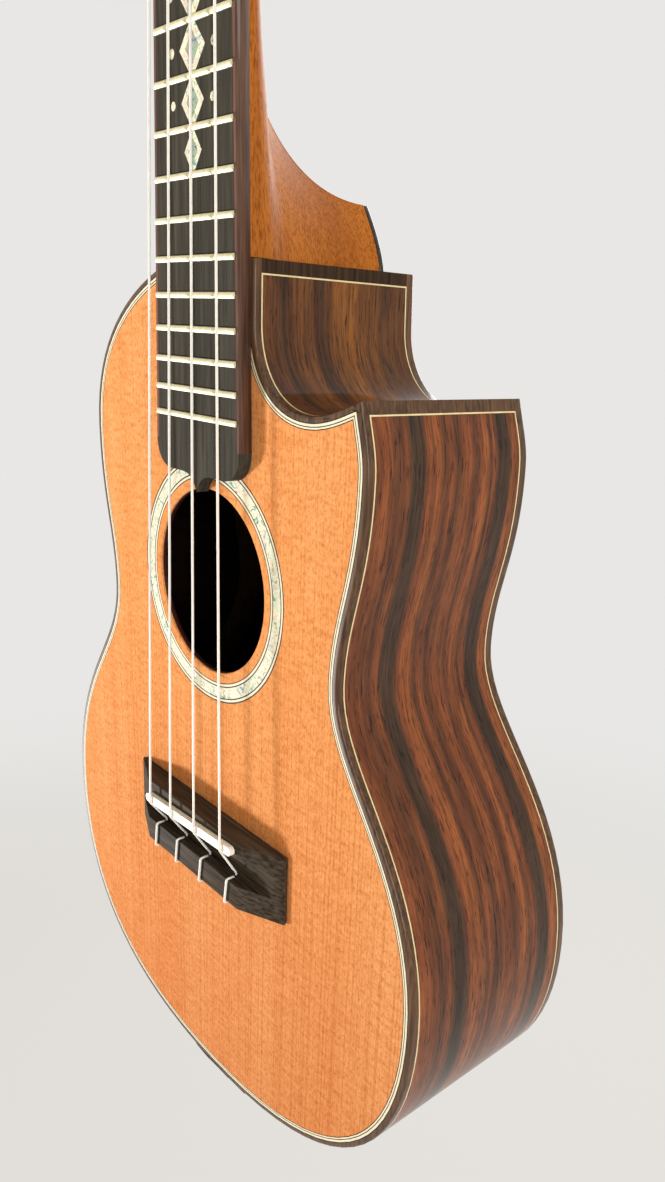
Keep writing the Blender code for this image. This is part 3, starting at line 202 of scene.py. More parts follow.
class Finish:
    """A procedural material, and the few nodes that these woods and metals are made with."""

    def __init__(self, name, roughness, coat=0.0, coat_roughness=0.05, metallic=0.0, specular=0.5):
        self.material = bpy.data.materials.new(name)
        self.material.use_nodes = True
        self.tree = self.material.node_tree
        self.shader = self.tree.nodes["Principled BSDF"]
        self.shader.inputs["Roughness"].default_value = roughness
        self.shader.inputs["Metallic"].default_value = metallic
        self.shader.inputs["Specular IOR Level"].default_value = specular
        self.shader.inputs["Coat Weight"].default_value = coat
        self.shader.inputs["Coat Roughness"].default_value = coat_roughness
        self.coordinates = self.tree.nodes.new("ShaderNodeTexCoord").outputs["Object"]

    def node(self, kind, **settings):
        node = self.tree.nodes.new(kind)
        for name, value in settings.items():
            setattr(node, name, value)
        return node

    def join(self, output, socket):
        self.tree.links.new(output, socket)

    def noise(self, scale, detail=3.0, roughness=0.5, distortion=0.0):
        """Noise over the piece's own coordinates, at scale along x, y and z."""
        mapping = self.node("ShaderNodeMapping")
        mapping.inputs["Scale"].default_value = scale
        self.join(self.coordinates, mapping.inputs["Vector"])
        noise = self.node("ShaderNodeTexNoise")
        noise.inputs["Scale"].default_value = 1.0
        noise.inputs["Detail"].default_value = detail
        noise.inputs["Roughness"].default_value = roughness
        noise.inputs["Distortion"].default_value = distortion
        self.join(mapping.outputs["Vector"], noise.inputs["Vector"])
        return noise.outputs["Fac"]

    def ramp(self, factor, *stops):
        """A colour or grey scale through (place, colour) stops."""
        ramp = self.node("ShaderNodeValToRGB")
        elements = ramp.color_ramp.elements
        while len(elements) < len(stops):
            elements.new(0.5)
        for element, (place, colour) in zip(elements, stops):
            element.position = place
            shade = colour if isinstance(colour, tuple) else (colour,) * 3
            element.color = (*shade, 1)
        self.join(factor, ramp.inputs["Fac"])
        return ramp.outputs["Color"]

    def tint(self, colour, share, factor, *stops):
        """The colour multiplied by a ramp over the factor, as strongly as share says."""
        mix = self.node("ShaderNodeMix", data_type="RGBA", blend_type="MULTIPLY")
        mix.inputs[0].default_value = share
        self.join(colour, mix.inputs[6])
        self.join(self.ramp(factor, *stops), mix.inputs[7])
        return mix.outputs[2]

    def maths(self, operation, first, second=0.0):
        sums = self.node("ShaderNodeMath", operation=operation)
        for socket, value in zip(sums.inputs, (first, second)):
            if isinstance(value, (int, float)):
                socket.default_value = value
            else:
                self.join(value, socket)
        return sums.outputs[0]

    def done(self, colour, height=None, strength=0.2, depth=0.0002):
        self.join(colour, self.shader.inputs["Base Color"])
        if height is not None:
            bump = self.node("ShaderNodeBump")
            bump.inputs["Strength"].default_value = strength
            bump.inputs["Distance"].default_value = depth
            self.join(height, bump.inputs["Height"])
            self.join(bump.outputs["Normal"], self.shader.inputs["Normal"])
        return self.material


def cedar_top():
    """Warm orange softwood with fine straight lines up the body, a faint cross silk, and painted
    shade that darkens it towards the tail.
    """
    f = Finish("cedar_top", 0.7, specular=0.0)
    lines = f.noise((1250, 20, 3), detail=2, distortion=0.1)
    bands = f.noise((55, 20, 1.2), detail=3)
    silk = f.noise((130, 20, 420), detail=4, roughness=0.68, distortion=0.6)
    cloud = f.noise((16, 20, 9), detail=2)
    flecks = f.noise((1000, 60, 560), detail=3, roughness=0.75)
    base = f.ramp(bands, (0.3, (0.89, 0.388, 0.144)), (0.7, (0.96, 0.470, 0.195)))
    # Painted shade: the soundboard is darkened towards the tail, from 0.36 m to 0.54 m below the
    # nut.
    shade_towards_tail = f.maths("MULTIPLY", axis(f, "Z"), -1.0)
    wood = f.tint(base, 0.5, cloud, (0.3, (0.94, 0.84, 0.76)), (0.7, 1.0))
    wood = f.tint(wood, 0.5, lines, (0.34, (0.72, 0.56, 0.42)), (0.5, 1.0))
    wood = f.tint(wood, 1.0, shade_towards_tail, (0.36, 1.0), (0.54, (0.88, 0.80, 0.84)))
    wood = f.tint(wood, 0.9, silk, (0.34, (0.86, 0.76, 0.66)), (0.60, 1.0))
    wood = f.tint(wood, 0.75, flecks, (0.36, (0.70, 0.50, 0.38)), (0.52, 1.0))
    return f.done(wood, lines, strength=0.05)


RED_BROWN = (0.255, 0.079, 0.030)
ORANGE_BROWN = (0.320, 0.106, 0.034)
WARM_BROWN = (0.220, 0.072, 0.026)
DARK_BROWN = (0.115, 0.044, 0.021)
GREY_STRIPE = (0.064, 0.036, 0.022)

# The stripes of one side strip, from its front edge (0) to its rear edge (1)
SIDE_STRIPES = (
    (0.00, RED_BROWN),
    (0.10, WARM_BROWN),
    (0.15, DARK_BROWN),
    (0.20, WARM_BROWN),
    (0.24, GREY_STRIPE),
    (0.31, GREY_STRIPE),
    (0.35, RED_BROWN),
    (0.42, ORANGE_BROWN),
    (0.46, DARK_BROWN),
    (0.49, RED_BROWN),
    (0.54, DARK_BROWN),
    (0.59, WARM_BROWN),
    (0.63, RED_BROWN),
    (0.68, DARK_BROWN),
    (0.72, RED_BROWN),
    (0.76, ORANGE_BROWN),
    (0.785, DARK_BROWN),
    (0.81, RED_BROWN),
    (0.855, GREY_STRIPE),
    (0.925, GREY_STRIPE),
    (0.95, ORANGE_BROWN),
    (1.00, RED_BROWN),
)
# The calmer stripes of the cutaway
CUTAWAY_STRIPES = (
    (0.00, (0.165, 0.062, 0.020)),
    (0.09, (0.130, 0.050, 0.019)),
    (0.14, (0.060, 0.030, 0.017)),
    (0.19, (0.165, 0.064, 0.020)),
    (0.31, (0.190, 0.074, 0.022)),
    (0.36, (0.120, 0.048, 0.019)),
    (0.40, (0.066, 0.032, 0.017)),
    (0.46, (0.205, 0.080, 0.021)),
    (0.60, (0.290, 0.112, 0.023)),
    (0.67, (0.150, 0.060, 0.019)),
    (0.74, (0.215, 0.084, 0.022)),
    (0.84, (0.120, 0.052, 0.021)),
    (0.92, (0.150, 0.060, 0.021)),
    (1.00, (0.125, 0.052, 0.020)),
)
# The stripes of one half of the back, from the middle (0) to its widest (1)
BACK_STRIPES = (
    (0.00, WARM_BROWN),
    (0.07, RED_BROWN),
    (0.13, DARK_BROWN),
    (0.18, RED_BROWN),
    (0.26, ORANGE_BROWN),
    (0.31, DARK_BROWN),
    (0.35, WARM_BROWN),
    (0.42, GREY_STRIPE),
    (0.47, RED_BROWN),
    (0.56, DARK_BROWN),
    (0.60, ORANGE_BROWN),
    (0.70, RED_BROWN),
    (0.76, GREY_STRIPE),
    (0.84, WARM_BROWN),
    (0.92, RED_BROWN),
    (1.00, DARK_BROWN),
)


def rosewood(name, across, stripes, grain, wander=0.045):
    """Red-brown wood: its stripes over across(f), then hair lines and open pores with the grain.

    grain is the scale of the fine figure along x, y and z, small in the direction of the grain.
    wander is how far the stripes stray, as a share of the whole width.
    """
    f = Finish(name, 0.35, coat=0.4, coat_roughness=0.03, specular=0.05)
    slow = f.noise([g * 9 + 3 for g in grain], detail=3, distortion=0.4)
    drift = f.maths("MULTIPLY", f.maths("SUBTRACT", slow, 0.5), wander * 2)
    place = f.maths("ADD", across(f), drift)
    base = f.ramp(place, *stripes)
    fine = f.noise([g * 330 + 7 for g in grain], detail=4, roughness=0.62, distortion=0.25)
    hair = f.noise([g * 1100 + 34 for g in grain], detail=3, roughness=0.6)
    pores = f.noise([g * 1700 + 130 for g in grain], detail=2, roughness=0.6)
    mottle = f.noise([g * 120 + 45 for g in grain], detail=3, roughness=0.6)
    dark = (0.50, 0.46, 0.44)
    wood = f.tint(base, 0.7, fine, (0.36, dark), (0.50, 1.0), (0.66, (1.25, 1.16, 1.05)))
    wood = f.tint(wood, 0.6, hair, (0.38, dark), (0.58, (1.15, 1.10, 1.05)))
    wood = f.tint(wood, 0.7, mottle, (0.34, 0.66), (0.64, 1.14))
    wood = f.tint(wood, 0.85, pores, (0.36, (0.20, 0.16, 0.14)), (0.43, 1.0))
    return f.done(wood, pores, strength=0.04)


def axis(f, letter, folded=False):
    parts = f.node("ShaderNodeSeparateXYZ")
    f.join(f.coordinates, parts.inputs["Vector"])
    output = parts.outputs[letter]
    return f.maths("ABSOLUTE", output) if folded else output


def side_share(f):
    """How far a point of a side lies from the front edge to the rear one."""
    taper = (DEPTH_AT_TAIL - DEPTH_AT_JOINT) / BODY_LENGTH
    below_joint = f.maths("SUBTRACT", JOINT_Y, axis(f, "Z"))
    depth = f.maths("ADD", f.maths("MULTIPLY", below_joint, taper), DEPTH_AT_JOINT - 6.2 * MM)
    return f.maths("DIVIDE", f.maths("SUBTRACT", axis(f, "Y"), 2.8 * MM), depth)


def back_share(f):
    return f.maths("DIVIDE", axis(f, "X", folded=True), 112 * MM)


def dark_wood(name, low, high, grain, roughness=0.35, coat=0.4):
    """A dark even wood with fine streaks. grain is as in rosewood."""
    f = Finish(name, roughness, coat=coat, coat_roughness=0.08, specular=0.1 if coat else 0.02)
    streak = f.noise([g * 900 + 22 for g in grain], detail=3, distortion=0.2)
    slow = f.noise([g * 110 + 12 for g in grain], detail=2)
    wood = f.ramp(streak, (0.32, low), (0.68, high))
    wood = f.tint(wood, 0.6, slow, (0.3, (0.75, 0.70, 0.66)), (0.7, (1.2, 1.1, 1.05)))
    return f.done(wood, streak, strength=0.05, depth=0.0001)


def mahogany():
    """Orange-brown neck wood with short dark pores, in a satin finish."""
    f = Finish("mahogany", 0.55, specular=0.08)
    wide = f.noise((45, 45, 7), detail=3, distortion=0.3)
    fine = f.noise((460, 460, 26), detail=3)
    pores = f.noise((1900, 1900, 300), detail=2, roughness=0.6, distortion=0.3)
    specks = f.noise((2600, 2600, 700), detail=2)
    wood = f.ramp(wide, (0.3, (0.47, 0.152, 0.027)), (0.7, (0.62, 0.218, 0.038)))
    wood = f.tint(wood, 0.5, fine, (0.3, (0.72, 0.66, 0.62)), (0.65, (1.08, 1.06, 1.0)))
    wood = f.tint(wood, 0.68, pores, (0.41, (0.46, 0.34, 0.24)), (0.50, 1.0))
    wood = f.tint(wood, 0.35, specks, (0.35, (0.5, 0.4, 0.3)), (0.5, 1.0))
    return f.done(wood, pores, strength=0.10, depth=0.0001)


def shaded_spruce():
    """The unfinished wood of the braces, painted dark as the shade that it lies in inside the body.
    """
    f = Finish("shaded_spruce", 0.7, specular=0.1)
    lines = f.noise((700, 700, 12), detail=2)
    wood = f.ramp(lines, (0.35, (0.050, 0.030, 0.016)), (0.6, (0.080, 0.050, 0.026)))
    return f.done(wood, lines, strength=0.1)


def shell(name, pale, flashes, vein):
    """Polished shell: pale layers, flashes of colour between them, and dark growth lines."""
    f = Finish(name, 0.6, specular=0.05)
    cells = f.node("ShaderNodeTexVoronoi", feature="F1")
    cells.inputs["Scale"].default_value = 150
    f.join(f.coordinates, cells.inputs["Vector"])
    flash = f.noise((110, 110, 130), detail=4, roughness=0.68, distortion=2.2)
    veins = f.noise((330, 330, 240), detail=3, roughness=0.6, distortion=3.0)
    first, second, third = flashes
    layers = [(0.36, first), (0.42, pale), (0.52, pale), (0.57, second), (0.61, pale), (0.67, third)]
    colours = f.ramp(flash, *layers)
    patch = cells.outputs["Color"]
    look = f.tint(colours, 0.7, patch, (0.2, (0.72, 0.84, 0.80)), (0.8, (1.0, 0.97, 0.90)))
    look = f.tint(look, vein, veins, (0.37, (0.16, 0.22, 0.20)), (0.42, 1.0))
    return f.done(look)


def plain(name, low, high, roughness, coat=0.0, metallic=0.0, scale=400, specular=0.15):
    """A nearly even surface with a little drift of tone."""
    f = Finish(name, roughness, coat=coat, metallic=metallic, specular=specular)
    drift = f.noise((scale, scale, scale), detail=3)
    return f.done(f.ramp(drift, (0.35, low), (0.65, high)), drift, strength=0.03, depth=0.00005)


# The scale of the figure where the grain runs up the instrument, or across the bridge
UPRIGHT_GRAIN = (1.0, 1.0, 0.02)
BRIDGE_GRAIN = (0.02, 1.0, 1.0)

CEDAR = cedar_top()
SIDE_WOOD = rosewood("rosewood_side", side_share, SIDE_STRIPES, (0.04, 1.0, 0.01))
CUTAWAY_WOOD = rosewood(
    "rosewood_cutaway", side_share, CUTAWAY_STRIPES, (0.04, 1.0, 0.012), wander=0.06
)
BACK_WOOD = rosewood("rosewood_back", back_share, BACK_STRIPES, (1.0, 0.04, 0.01))
BINDING = dark_wood("dark_binding", (0.050, 0.026, 0.013), (0.160, 0.084, 0.042), UPRIGHT_GRAIN)
# A strip of dark wood, painted darker still with the shade that the heel casts on it.
SHADED_STRIP_WOOD = dark_wood(
    "dark_strip_painted_shade", (0.018, 0.010, 0.006), (0.070, 0.038, 0.021), UPRIGHT_GRAIN, coat=0.05
)
BOARD_EDGE = dark_wood("board_edge", (0.070, 0.036, 0.026), (0.160, 0.090, 0.062), UPRIGHT_GRAIN)
BOARD_WOOD = dark_wood(
    "ebony_board", (0.040, 0.039, 0.033), (0.074, 0.072, 0.060), UPRIGHT_GRAIN, 0.55, coat=0.0
)
BRIDGE_WOOD = dark_wood(
    "ebony_bridge", (0.026, 0.021, 0.016), (0.096, 0.076, 0.058), BRIDGE_GRAIN, 0.6, coat=0.0
)
# Painted shade: the wood inside the body, near black as the dark inside it.
SHADED_INSIDE_WOOD = dark_wood(
    "inside_wood_painted_shade", (0.006, 0.004, 0.003), (0.016, 0.008, 0.005), (1.0, 0.1, 0.02), 0.8, coat=0.0
)
NECK_WOOD = mahogany()
SHADED_SPRUCE = shaded_spruce()
SHELL = shell(
    "pearl_shell",
    (0.94, 0.92, 0.75),
    ((0.22, 0.46, 0.44), (0.86, 0.62, 0.56), (0.32, 0.46, 0.66)),
    0.6,
)
GREEN_SHELL = shell(
    "green_shell",
    (0.40, 0.50, 0.42),
    ((0.10, 0.30, 0.26), (0.52, 0.24, 0.34), (0.12, 0.26, 0.42)),
    0.8,
)
CREAM = plain("cream_line", (0.80, 0.68, 0.40), (0.90, 0.80, 0.52), 0.6, specular=0.04)
WHITE_LINE = plain("white_line", (0.84, 0.76, 0.56), (0.92, 0.87, 0.70), 0.6, specular=0.04)
BLACK_LINE = plain("black_line", (0.012, 0.010, 0.009), (0.030, 0.024, 0.020), 0.6, specular=0.04)
HOLE_STAIN = plain("hole_stain", (0.030, 0.006, 0.004), (0.060, 0.012, 0.008), 0.6)
RED_LINE = plain("red_line", (0.11, 0.012, 0.010), (0.16, 0.018, 0.014), 0.6, specular=0.04)
BONE = plain("bone", (0.94, 0.92, 0.86), (0.99, 0.98, 0.94), 0.4, scale=260)
NYLON = plain("string_nylon", (0.95, 0.95, 0.93), (0.99, 0.99, 0.98), 0.35)
FRET_METAL = plain("fret_metal", (0.80, 0.74, 0.48), (0.90, 0.84, 0.60), 0.4, metallic=0.4)
TUNER_METAL = plain("tuner_metal", (0.72, 0.56, 0.27), (0.80, 0.64, 0.34), 0.2, metallic=1.0)
BUTTON_BLACK = plain("button_black", (0.012, 0.011, 0.010), (0.026, 0.023, 0.020), 0.15, coat=1.0)
CAP_BLACK = plain("cap_black", (0.022, 0.018, 0.015), (0.044, 0.037, 0.030), 0.3, coat=0.4)


# The body's outline


def bezier(start, start_handle, end_handle, end, steps):
    start, start_handle, end_handle, end = map(np.array, (start, start_handle, end_handle, end))
    shares = [i / steps for i in range(steps)]
    return [
        start * (1 - t) ** 3
        + 3 * start_handle * t * (1 - t) ** 2
        + 3 * end_handle * t * t * (1 - t)
        + end * t**3
        for t in shares
    ]


def body_runs():
    """The outline, anticlockwise from the tail: the treble side, the cutaway, the bass side."""
    steps = 20
    lower = (112 * MM, TAIL_Y + 90 * MM)
    waist = (70.5 * MM, TAIL_Y + 191 * MM)
    upper = (80 * MM, TAIL_Y + 255 * MM)
    horn = (75.6 * MM, JOINT_Y - 37 * MM)
    low = (52 * MM, JOINT_Y - 43.1 * MM)
    wall_end = (25.6 * MM, JOINT_Y - 18 * MM)
    belly = 0.55 * (waist[1] - lower[1])
    lower_half = bezier(
        (0, TAIL_Y), (0.78 * lower[0], TAIL_Y), (lower[0], lower[1] - 45 * MM), lower, steps
    )
    lower_half += bezier(
        lower, (lower[0], lower[1] + belly), (waist[0], waist[1] - 0.5 * belly), waist, steps
    )
    lower_half += bezier(
        waist, (waist[0], waist[1] + 0.4 * belly), (upper[0], upper[1] - 0.55 * belly), upper, steps
    )
    side, cut = math.radians(102), math.radians(20)
    horn_side = (horn[0] - 8 * MM * math.cos(side), horn[1] - 8 * MM * math.sin(side))
    treble = lower_half + bezier(upper, (upper[0], upper[1] + 8 * MM), horn_side, horn, 8)
    horn_cut = (horn[0] - 8 * MM * math.cos(cut), horn[1] - 8 * MM * math.sin(cut))
    cutaway = bezier(horn, horn_cut, (low[0] + 9 * MM, low[1]), low, 10)
    cutaway += bezier(
        low, (low[0] - 16 * MM, low[1]), (wall_end[0], wall_end[1] - 14 * MM), wall_end, 16
    )
    cutaway += bezier(wall_end, wall_end, (wall_end[0], JOINT_Y), (wall_end[0], JOINT_Y), 2)
    shoulder = (24 * MM, JOINT_Y)
    turn = math.radians(15)
    shoulder_in = (shoulder[0] + 10 * MM * math.cos(turn), shoulder[1] - 10 * MM * math.sin(turn))
    bass_half = bezier(shoulder, shoulder_in, (upper[0], upper[1] + 42 * MM), upper, steps)
    bass_half += [np.array(upper)] + lower_half[:0:-1]
    bass = [np.array((wall_end[0], JOINT_Y))] + [np.array((-x, y)) for x, y in bass_half]
    return treble, cutaway, bass


RUNS = body_runs()
OUTLINE = np.array([point for run in RUNS for point in run])
AHEAD = np.roll(OUTLINE, -1, axis=0)
LENGTHS = np.linalg.norm(AHEAD - OUTLINE, axis=1)
ALONG = np.concatenate([[0], np.cumsum(LENGTHS)])
HORN_AT = ALONG[len(RUNS[0])]
CORNER_AT = ALONG[len(RUNS[0]) + len(RUNS[1])]
ROUND = ALONG[-1]


def off_outline(place):
    """How far a place is from the outline."""
    run = AHEAD - OUTLINE
    share = ((place - OUTLINE) * run).sum(axis=1) / (LENGTHS**2)
    near = OUTLINE + np.clip(share, 0, 1)[:, None] * run
    return np.linalg.norm(place - near, axis=1).min()


def inset_points(distance):
    """Each point of the outline moved inwards, mitred, and whether it still lies that far in."""
    heading = (AHEAD - OUTLINE) / LENGTHS[:, None]
    normal = np.stack([-heading[:, 1], heading[:, 0]], axis=1)
    before = np.roll(normal, 1, axis=0)
    mitre = (before + normal) / (1 + (before * normal).sum(axis=1))[:, None]
    moved = OUTLINE + distance * mitre
    return moved, np.array([off_outline(point) > 0.97 * distance for point in moved])


def inset_loop(distance):
    if distance == 0:
        return [tuple(p) for p in OUTLINE]
    moved, kept = inset_points(distance)
    return [tuple(p) for p, k in zip(moved, kept) if k]


def back_depth(y):
    return DEPTH_AT_JOINT + (JOINT_Y - y) / BODY_LENGTH * (DEPTH_AT_TAIL - DEPTH_AT_JOINT)


def above_back(height):
    """A level that follows the sloping back, at a height inside it."""
    return lambda y: -back_depth(y) + height


# Flat shapes


def flat_shape(name, loops, low, high):
    """Filled outlines with a thickness. low and high are numbers, or functions of y."""
    curve = bpy.data.curves.new(name, "CURVE")
    curve.dimensions = "2D"
    curve.fill_mode = "BOTH"
    curve.extrude = 1.0
    for loop in loops:
        spline = curve.splines.new("POLY")
        spline.points.add(len(loop) - 1)
        spline.use_cyclic_u = True
        for point, (x, y) in zip(spline.points, loop):
            point.co = (x, y, 0, 1)
    obj = bpy.data.objects.new(name, curve)
    bpy.context.scene.collection.objects.link(obj)
    pick(obj)
    bpy.ops.object.convert(target="MESH")
    obj = bpy.context.view_layer.objects.active
    for vertex in obj.data.vertices:
        level = high if vertex.co.z > 0 else low
        vertex.co.z = level(vertex.co.y) if callable(level) else level
    clean(obj)
    return obj


def inlaid(name, loops, low, high, slot, finish, *nodes, rounded=False):
    """A flat shape in its place on the body, shaded as one curve if its outline is round."""
    piece = flat_shape(name, loops, low, high)
    if rounded:
        smooth(piece)
    return belongs(stand(piece), "body", slot, finish, *nodes)


def circle(radius, centre_y=0.0, steps=96, centre_x=0.0):
    turns = [2 * math.pi * i / steps for i in range(steps)]
    return [(centre_x + radius * math.cos(a), centre_y + radius * math.sin(a)) for a in turns]


def on_outline(point):
    """Whether a point of a lying piece lies on the body's outline."""
    return off_outline(np.array((point.x, point.y))) < 0.05 * MM


def wall_plan(start, end):
    """The plan of a thin wall that follows the outline between two distances from the tail."""
    moved, kept = inset_points(SKIN)
    places = np.array([*OUTLINE, OUTLINE[0]])

    def at(distance):
        return np.array([np.interp(distance, ALONG, places[:, k]) for k in (0, 1)])

    def in_from(distance, step):
        heading = at(distance + step) - at(distance)
        heading = heading / np.linalg.norm(heading) * np.sign(step)
        return at(distance) + SKIN * np.array((-heading[1], heading[0]))

    nearly = 0.01 * MM
    inside = [i for i in range(len(OUTLINE)) if start + nearly < ALONG[i] < end - nearly]
    outer = [at(start)] + [OUTLINE[i] for i in inside] + [at(end)]
    inner = [in_from(start, 0.1 * MM)] + [moved[i] for i in inside if kept[i]]
    inner += [in_from(end, -0.1 * MM)]
    return [tuple(p) for p in outer] + [tuple(p) for p in reversed(inner)]


# Body

# Rings from the outside in: radii in millimetres
ROSETTE = (
    ("rosette_dark_1", BLACK_LINE, 43.5, 43.0),
    ("rosette_pale_1", WHITE_LINE, 43.0, 42.2),
    ("rosette_dark_2", BLACK_LINE, 42.2, 41.75),
    ("rosette_shell", SHELL, 41.75, 37.8),
    ("rosette_dark_3", BLACK_LINE, 37.8, 37.35),
    ("rosette_pale_2", WHITE_LINE, 37.35, 36.55),
    ("rosette_dark_4", BLACK_LINE, 36.55, 36.2),
)
# Lines inside the bindings: distances from the body's edge in millimetres
FRONT_LINES = (
    ("black_line_1", BLACK_LINE, 1.9, 2.2),
    ("white_line_1", WHITE_LINE, 2.2, 2.95),
    ("black_line_2", BLACK_LINE, 2.95, 3.25),
    ("white_line_2", WHITE_LINE, 3.25, 3.75),
    ("black_line_3", BLACK_LINE, 3.75, 4.05),
)
BACK_LINES = (
    ("back_pale_line", CREAM, 2.0, 2.7),
    ("back_dark_line", BLACK_LINE, 2.7, 3.1),
)


def dress_soundboard():
    """The lines along the edge, the cedar inside them with its holes, and the stained hole edge."""
    for name, finish, outer, inner in FRONT_LINES:
        loops = [inset_loop(outer * MM), inset_loop(inner * MM)]
        inlaid(name, loops, -TOP_THICKNESS, 0, "cedar", finish)
    loops = [
        inset_loop(FRONT_LINES[-1][3] * MM),
        circle(ROSETTE[0][2] * MM, HOLE_Y),
        circle(ROSETTE[-1][3] * MM, HOLE_Y),
        circle(HOLE_RADIUS, HOLE_Y),
    ]
    top = flat_shape("cedar_soundboard", loops, -TOP_THICKNESS, 0)
    near_hole = HOLE_RADIUS + 0.1 * MM

    def hole_rim(point):
        reach = math.hypot(point.x, point.y - HOLE_Y)
        return reach < near_hole and point.z > -0.1 * MM

    round_edges(top, hole_rim, 0.5 * MM, 3)
    smooth(top, 30)
    belongs(stand(top), "body", "cedar", CEDAR, "soundboard")
    loops = [circle(HOLE_RADIUS + 0.02 * MM, HOLE_Y), circle(HOLE_RADIUS - 0.1 * MM, HOLE_Y)]
    inlaid("hole_edge", loops, -TOP_THICKNESS, -0.6 * MM, "cedar", HOLE_STAIN)


def dress_rosette():
    for name, finish, outer, inner in ROSETTE:
        loops = [circle(outer * MM, HOLE_Y), circle(inner * MM, HOLE_Y)]
        nodes = ("rosette",) if finish is SHELL else ()
        inlaid(name, loops, -TOP_THICKNESS, 0, "shell", finish, *nodes)


def dress_bindings():
    """The strips of dark wood round both faces, with their outer edges rounded."""
    loops = [inset_loop(0), inset_loop(BINDING_WIDTH)]
    top = flat_shape("front_binding", loops, -FRONT_BINDING_HEIGHT, 0)
    round_edges(top, lambda p: p.z > -0.01 * MM and on_outline(p), BINDING_ROUND, 4)
    smooth(top)
    belongs(stand(top), "body", "dark_binding", BINDING, "top_binding")
    back = flat_shape("rear_binding", loops, above_back(0), above_back(REAR_BINDING_HEIGHT))

    def outer_edge(point):
        return point.z < -back_depth(point.y) + 0.01 * MM and on_outline(point)

    round_edges(back, outer_edge, BINDING_ROUND, 4)
    smooth(back)
    belongs(stand(back), "body", "dark_binding", BINDING, "back_binding")


def dress_sides():
    """Panels of striped wood in frames of a pale line, with dark wood at the horn and the neck."""
    top = -FRONT_BINDING_HEIGHT
    foot = above_back(REAR_BINDING_HEIGHT)
    line_top, line_foot = top - SIDE_LINE, above_back(REAR_BINDING_HEIGHT + SIDE_LINE)
    horn_in, horn_out = HORN_AT - HORN_STRIP, HORN_AT + HORN_STRIP
    neck_in, neck_out = CORNER_AT - NECK_STRIP, CORNER_AT + NECK_STRIP_PAST
    tail_start, tail_end = GRAFT_HALF + SIDE_LINE, ROUND - GRAFT_HALF - SIDE_LINE
    panels = (
        ("treble_panel", tail_start, horn_in - SIDE_LINE, "treble_side", SIDE_WOOD),
        ("cutaway_panel", horn_out + SIDE_LINE, neck_in - SIDE_LINE, "cutaway_side", CUTAWAY_WOOD),
        ("bass_panel", neck_out, tail_end, "bass_side", SIDE_WOOD),
    )
    for name, start, end, node, wood in panels:
        plan = [wall_plan(start, end)]
        inlaid(name, plan, line_foot, line_top, "rosewood", wood, node, rounded=True)
    for name, start, end, *_ in panels:
        plan = [wall_plan(start, end)]
        inlaid(f"{name}_front_line", plan, line_top, top, "rosewood", CREAM, rounded=True)
        inlaid(f"{name}_rear_line", plan, foot, line_foot, "rosewood", CREAM, rounded=True)
    posts = (
        ("tail_line_treble", GRAFT_HALF, tail_start, CREAM),
        ("horn_line_treble", horn_in - SIDE_LINE, horn_in, CREAM),
        ("horn_strip", horn_in, horn_out, BINDING),
        ("horn_line_cutaway", horn_out, horn_out + SIDE_LINE, CREAM),
        ("neck_line", neck_in - SIDE_LINE, neck_in, CREAM),
        ("neck_strip", neck_in, neck_out, SHADED_STRIP_WOOD),
        ("tail_line_bass", tail_end, tail_end + SIDE_LINE, CREAM),
        ("tail_graft_bass", ROUND - GRAFT_HALF, ROUND, BINDING),
        ("tail_graft_treble", 0, GRAFT_HALF, BINDING),
    )
    for name, start, end, finish in posts:
        plan = [wall_plan(start, end)]
        inlaid(name, plan, foot, top, "dark_binding", finish, rounded=True)
    # The inner face of the sides, painted near black as shade.
    lining = [inset_loop(SKIN), inset_loop(WALL)]
    inlaid("inner_sides_painted_shade", lining, foot, top, "rosewood", SHADED_INSIDE_WOOD, rounded=True)


def dress_back():
    """A plate of striped wood over an inner layer painted near black as the shade inside the body,
    in a line along its edge, with a middle strip.
    """
    surface, inner_face = above_back(0), above_back(TOP_THICKNESS)
    for name, finish, outer, inner in BACK_LINES:
        loops = [inset_loop(outer * MM), inset_loop(inner * MM)]
        inlaid(name, loops, surface, inner_face, "rosewood", finish)
    plate = [inset_loop(BACK_LINES[-1][3] * MM)]
    inlaid("rosewood_back", plate, surface, above_back(SKIN), "rosewood", BACK_WOOD, "back_plate")
    # The inner layer of the back, painted near black as shade.
    inlaid("inner_back_painted_shade", plate, above_back(SKIN), inner_face, "rosewood", SHADED_INSIDE_WOOD)
    foot, head = TAIL_Y + 3.4 * MM, JOINT_Y - 3.4 * MM
    for name, finish, half, proud in (
        ("back_strip_pale", CREAM, 2.6 * MM, 0.02 * MM),
        ("back_strip_dark", BINDING, 1.9 * MM, 0.04 * MM),
    ):
        loop = [(-half, foot), (half, foot), (half, head), (-half, head)]
        inlaid(name, [loop], above_back(-proud), above_back(0.5 * MM), "rosewood", finish)


# Pieces whose solids keep their shape


def polished(node, name, finish, edge=0.0, degrees=35, flatten=1.0):
    """A finer copy of a solid: its triangles joined, its flats made whole, its edges eased."""
    source = frame["nodes"][node]
    obj = bpy.data.objects.new(name, source.data.copy())
    bpy.context.scene.collection.objects.link(obj)
    pick(obj)
    bpy.ops.object.mode_set(mode="EDIT")
    bpy.ops.mesh.select_all(action="SELECT")
    bpy.ops.mesh.remove_doubles(threshold=2e-6)
    if flatten:
        bpy.ops.mesh.dissolve_limited(angle_limit=math.radians(flatten))
    bpy.ops.object.mode_set(mode="OBJECT")
    if edge:
        soften(obj, edge, degrees)
    smooth(obj, degrees)
    body = source["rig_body"]
    slot = next(s["material_slot"] for s in frame["record"]["subparts"] if s["node"] == node)
    return belongs(obj, body, slot, finish, node)


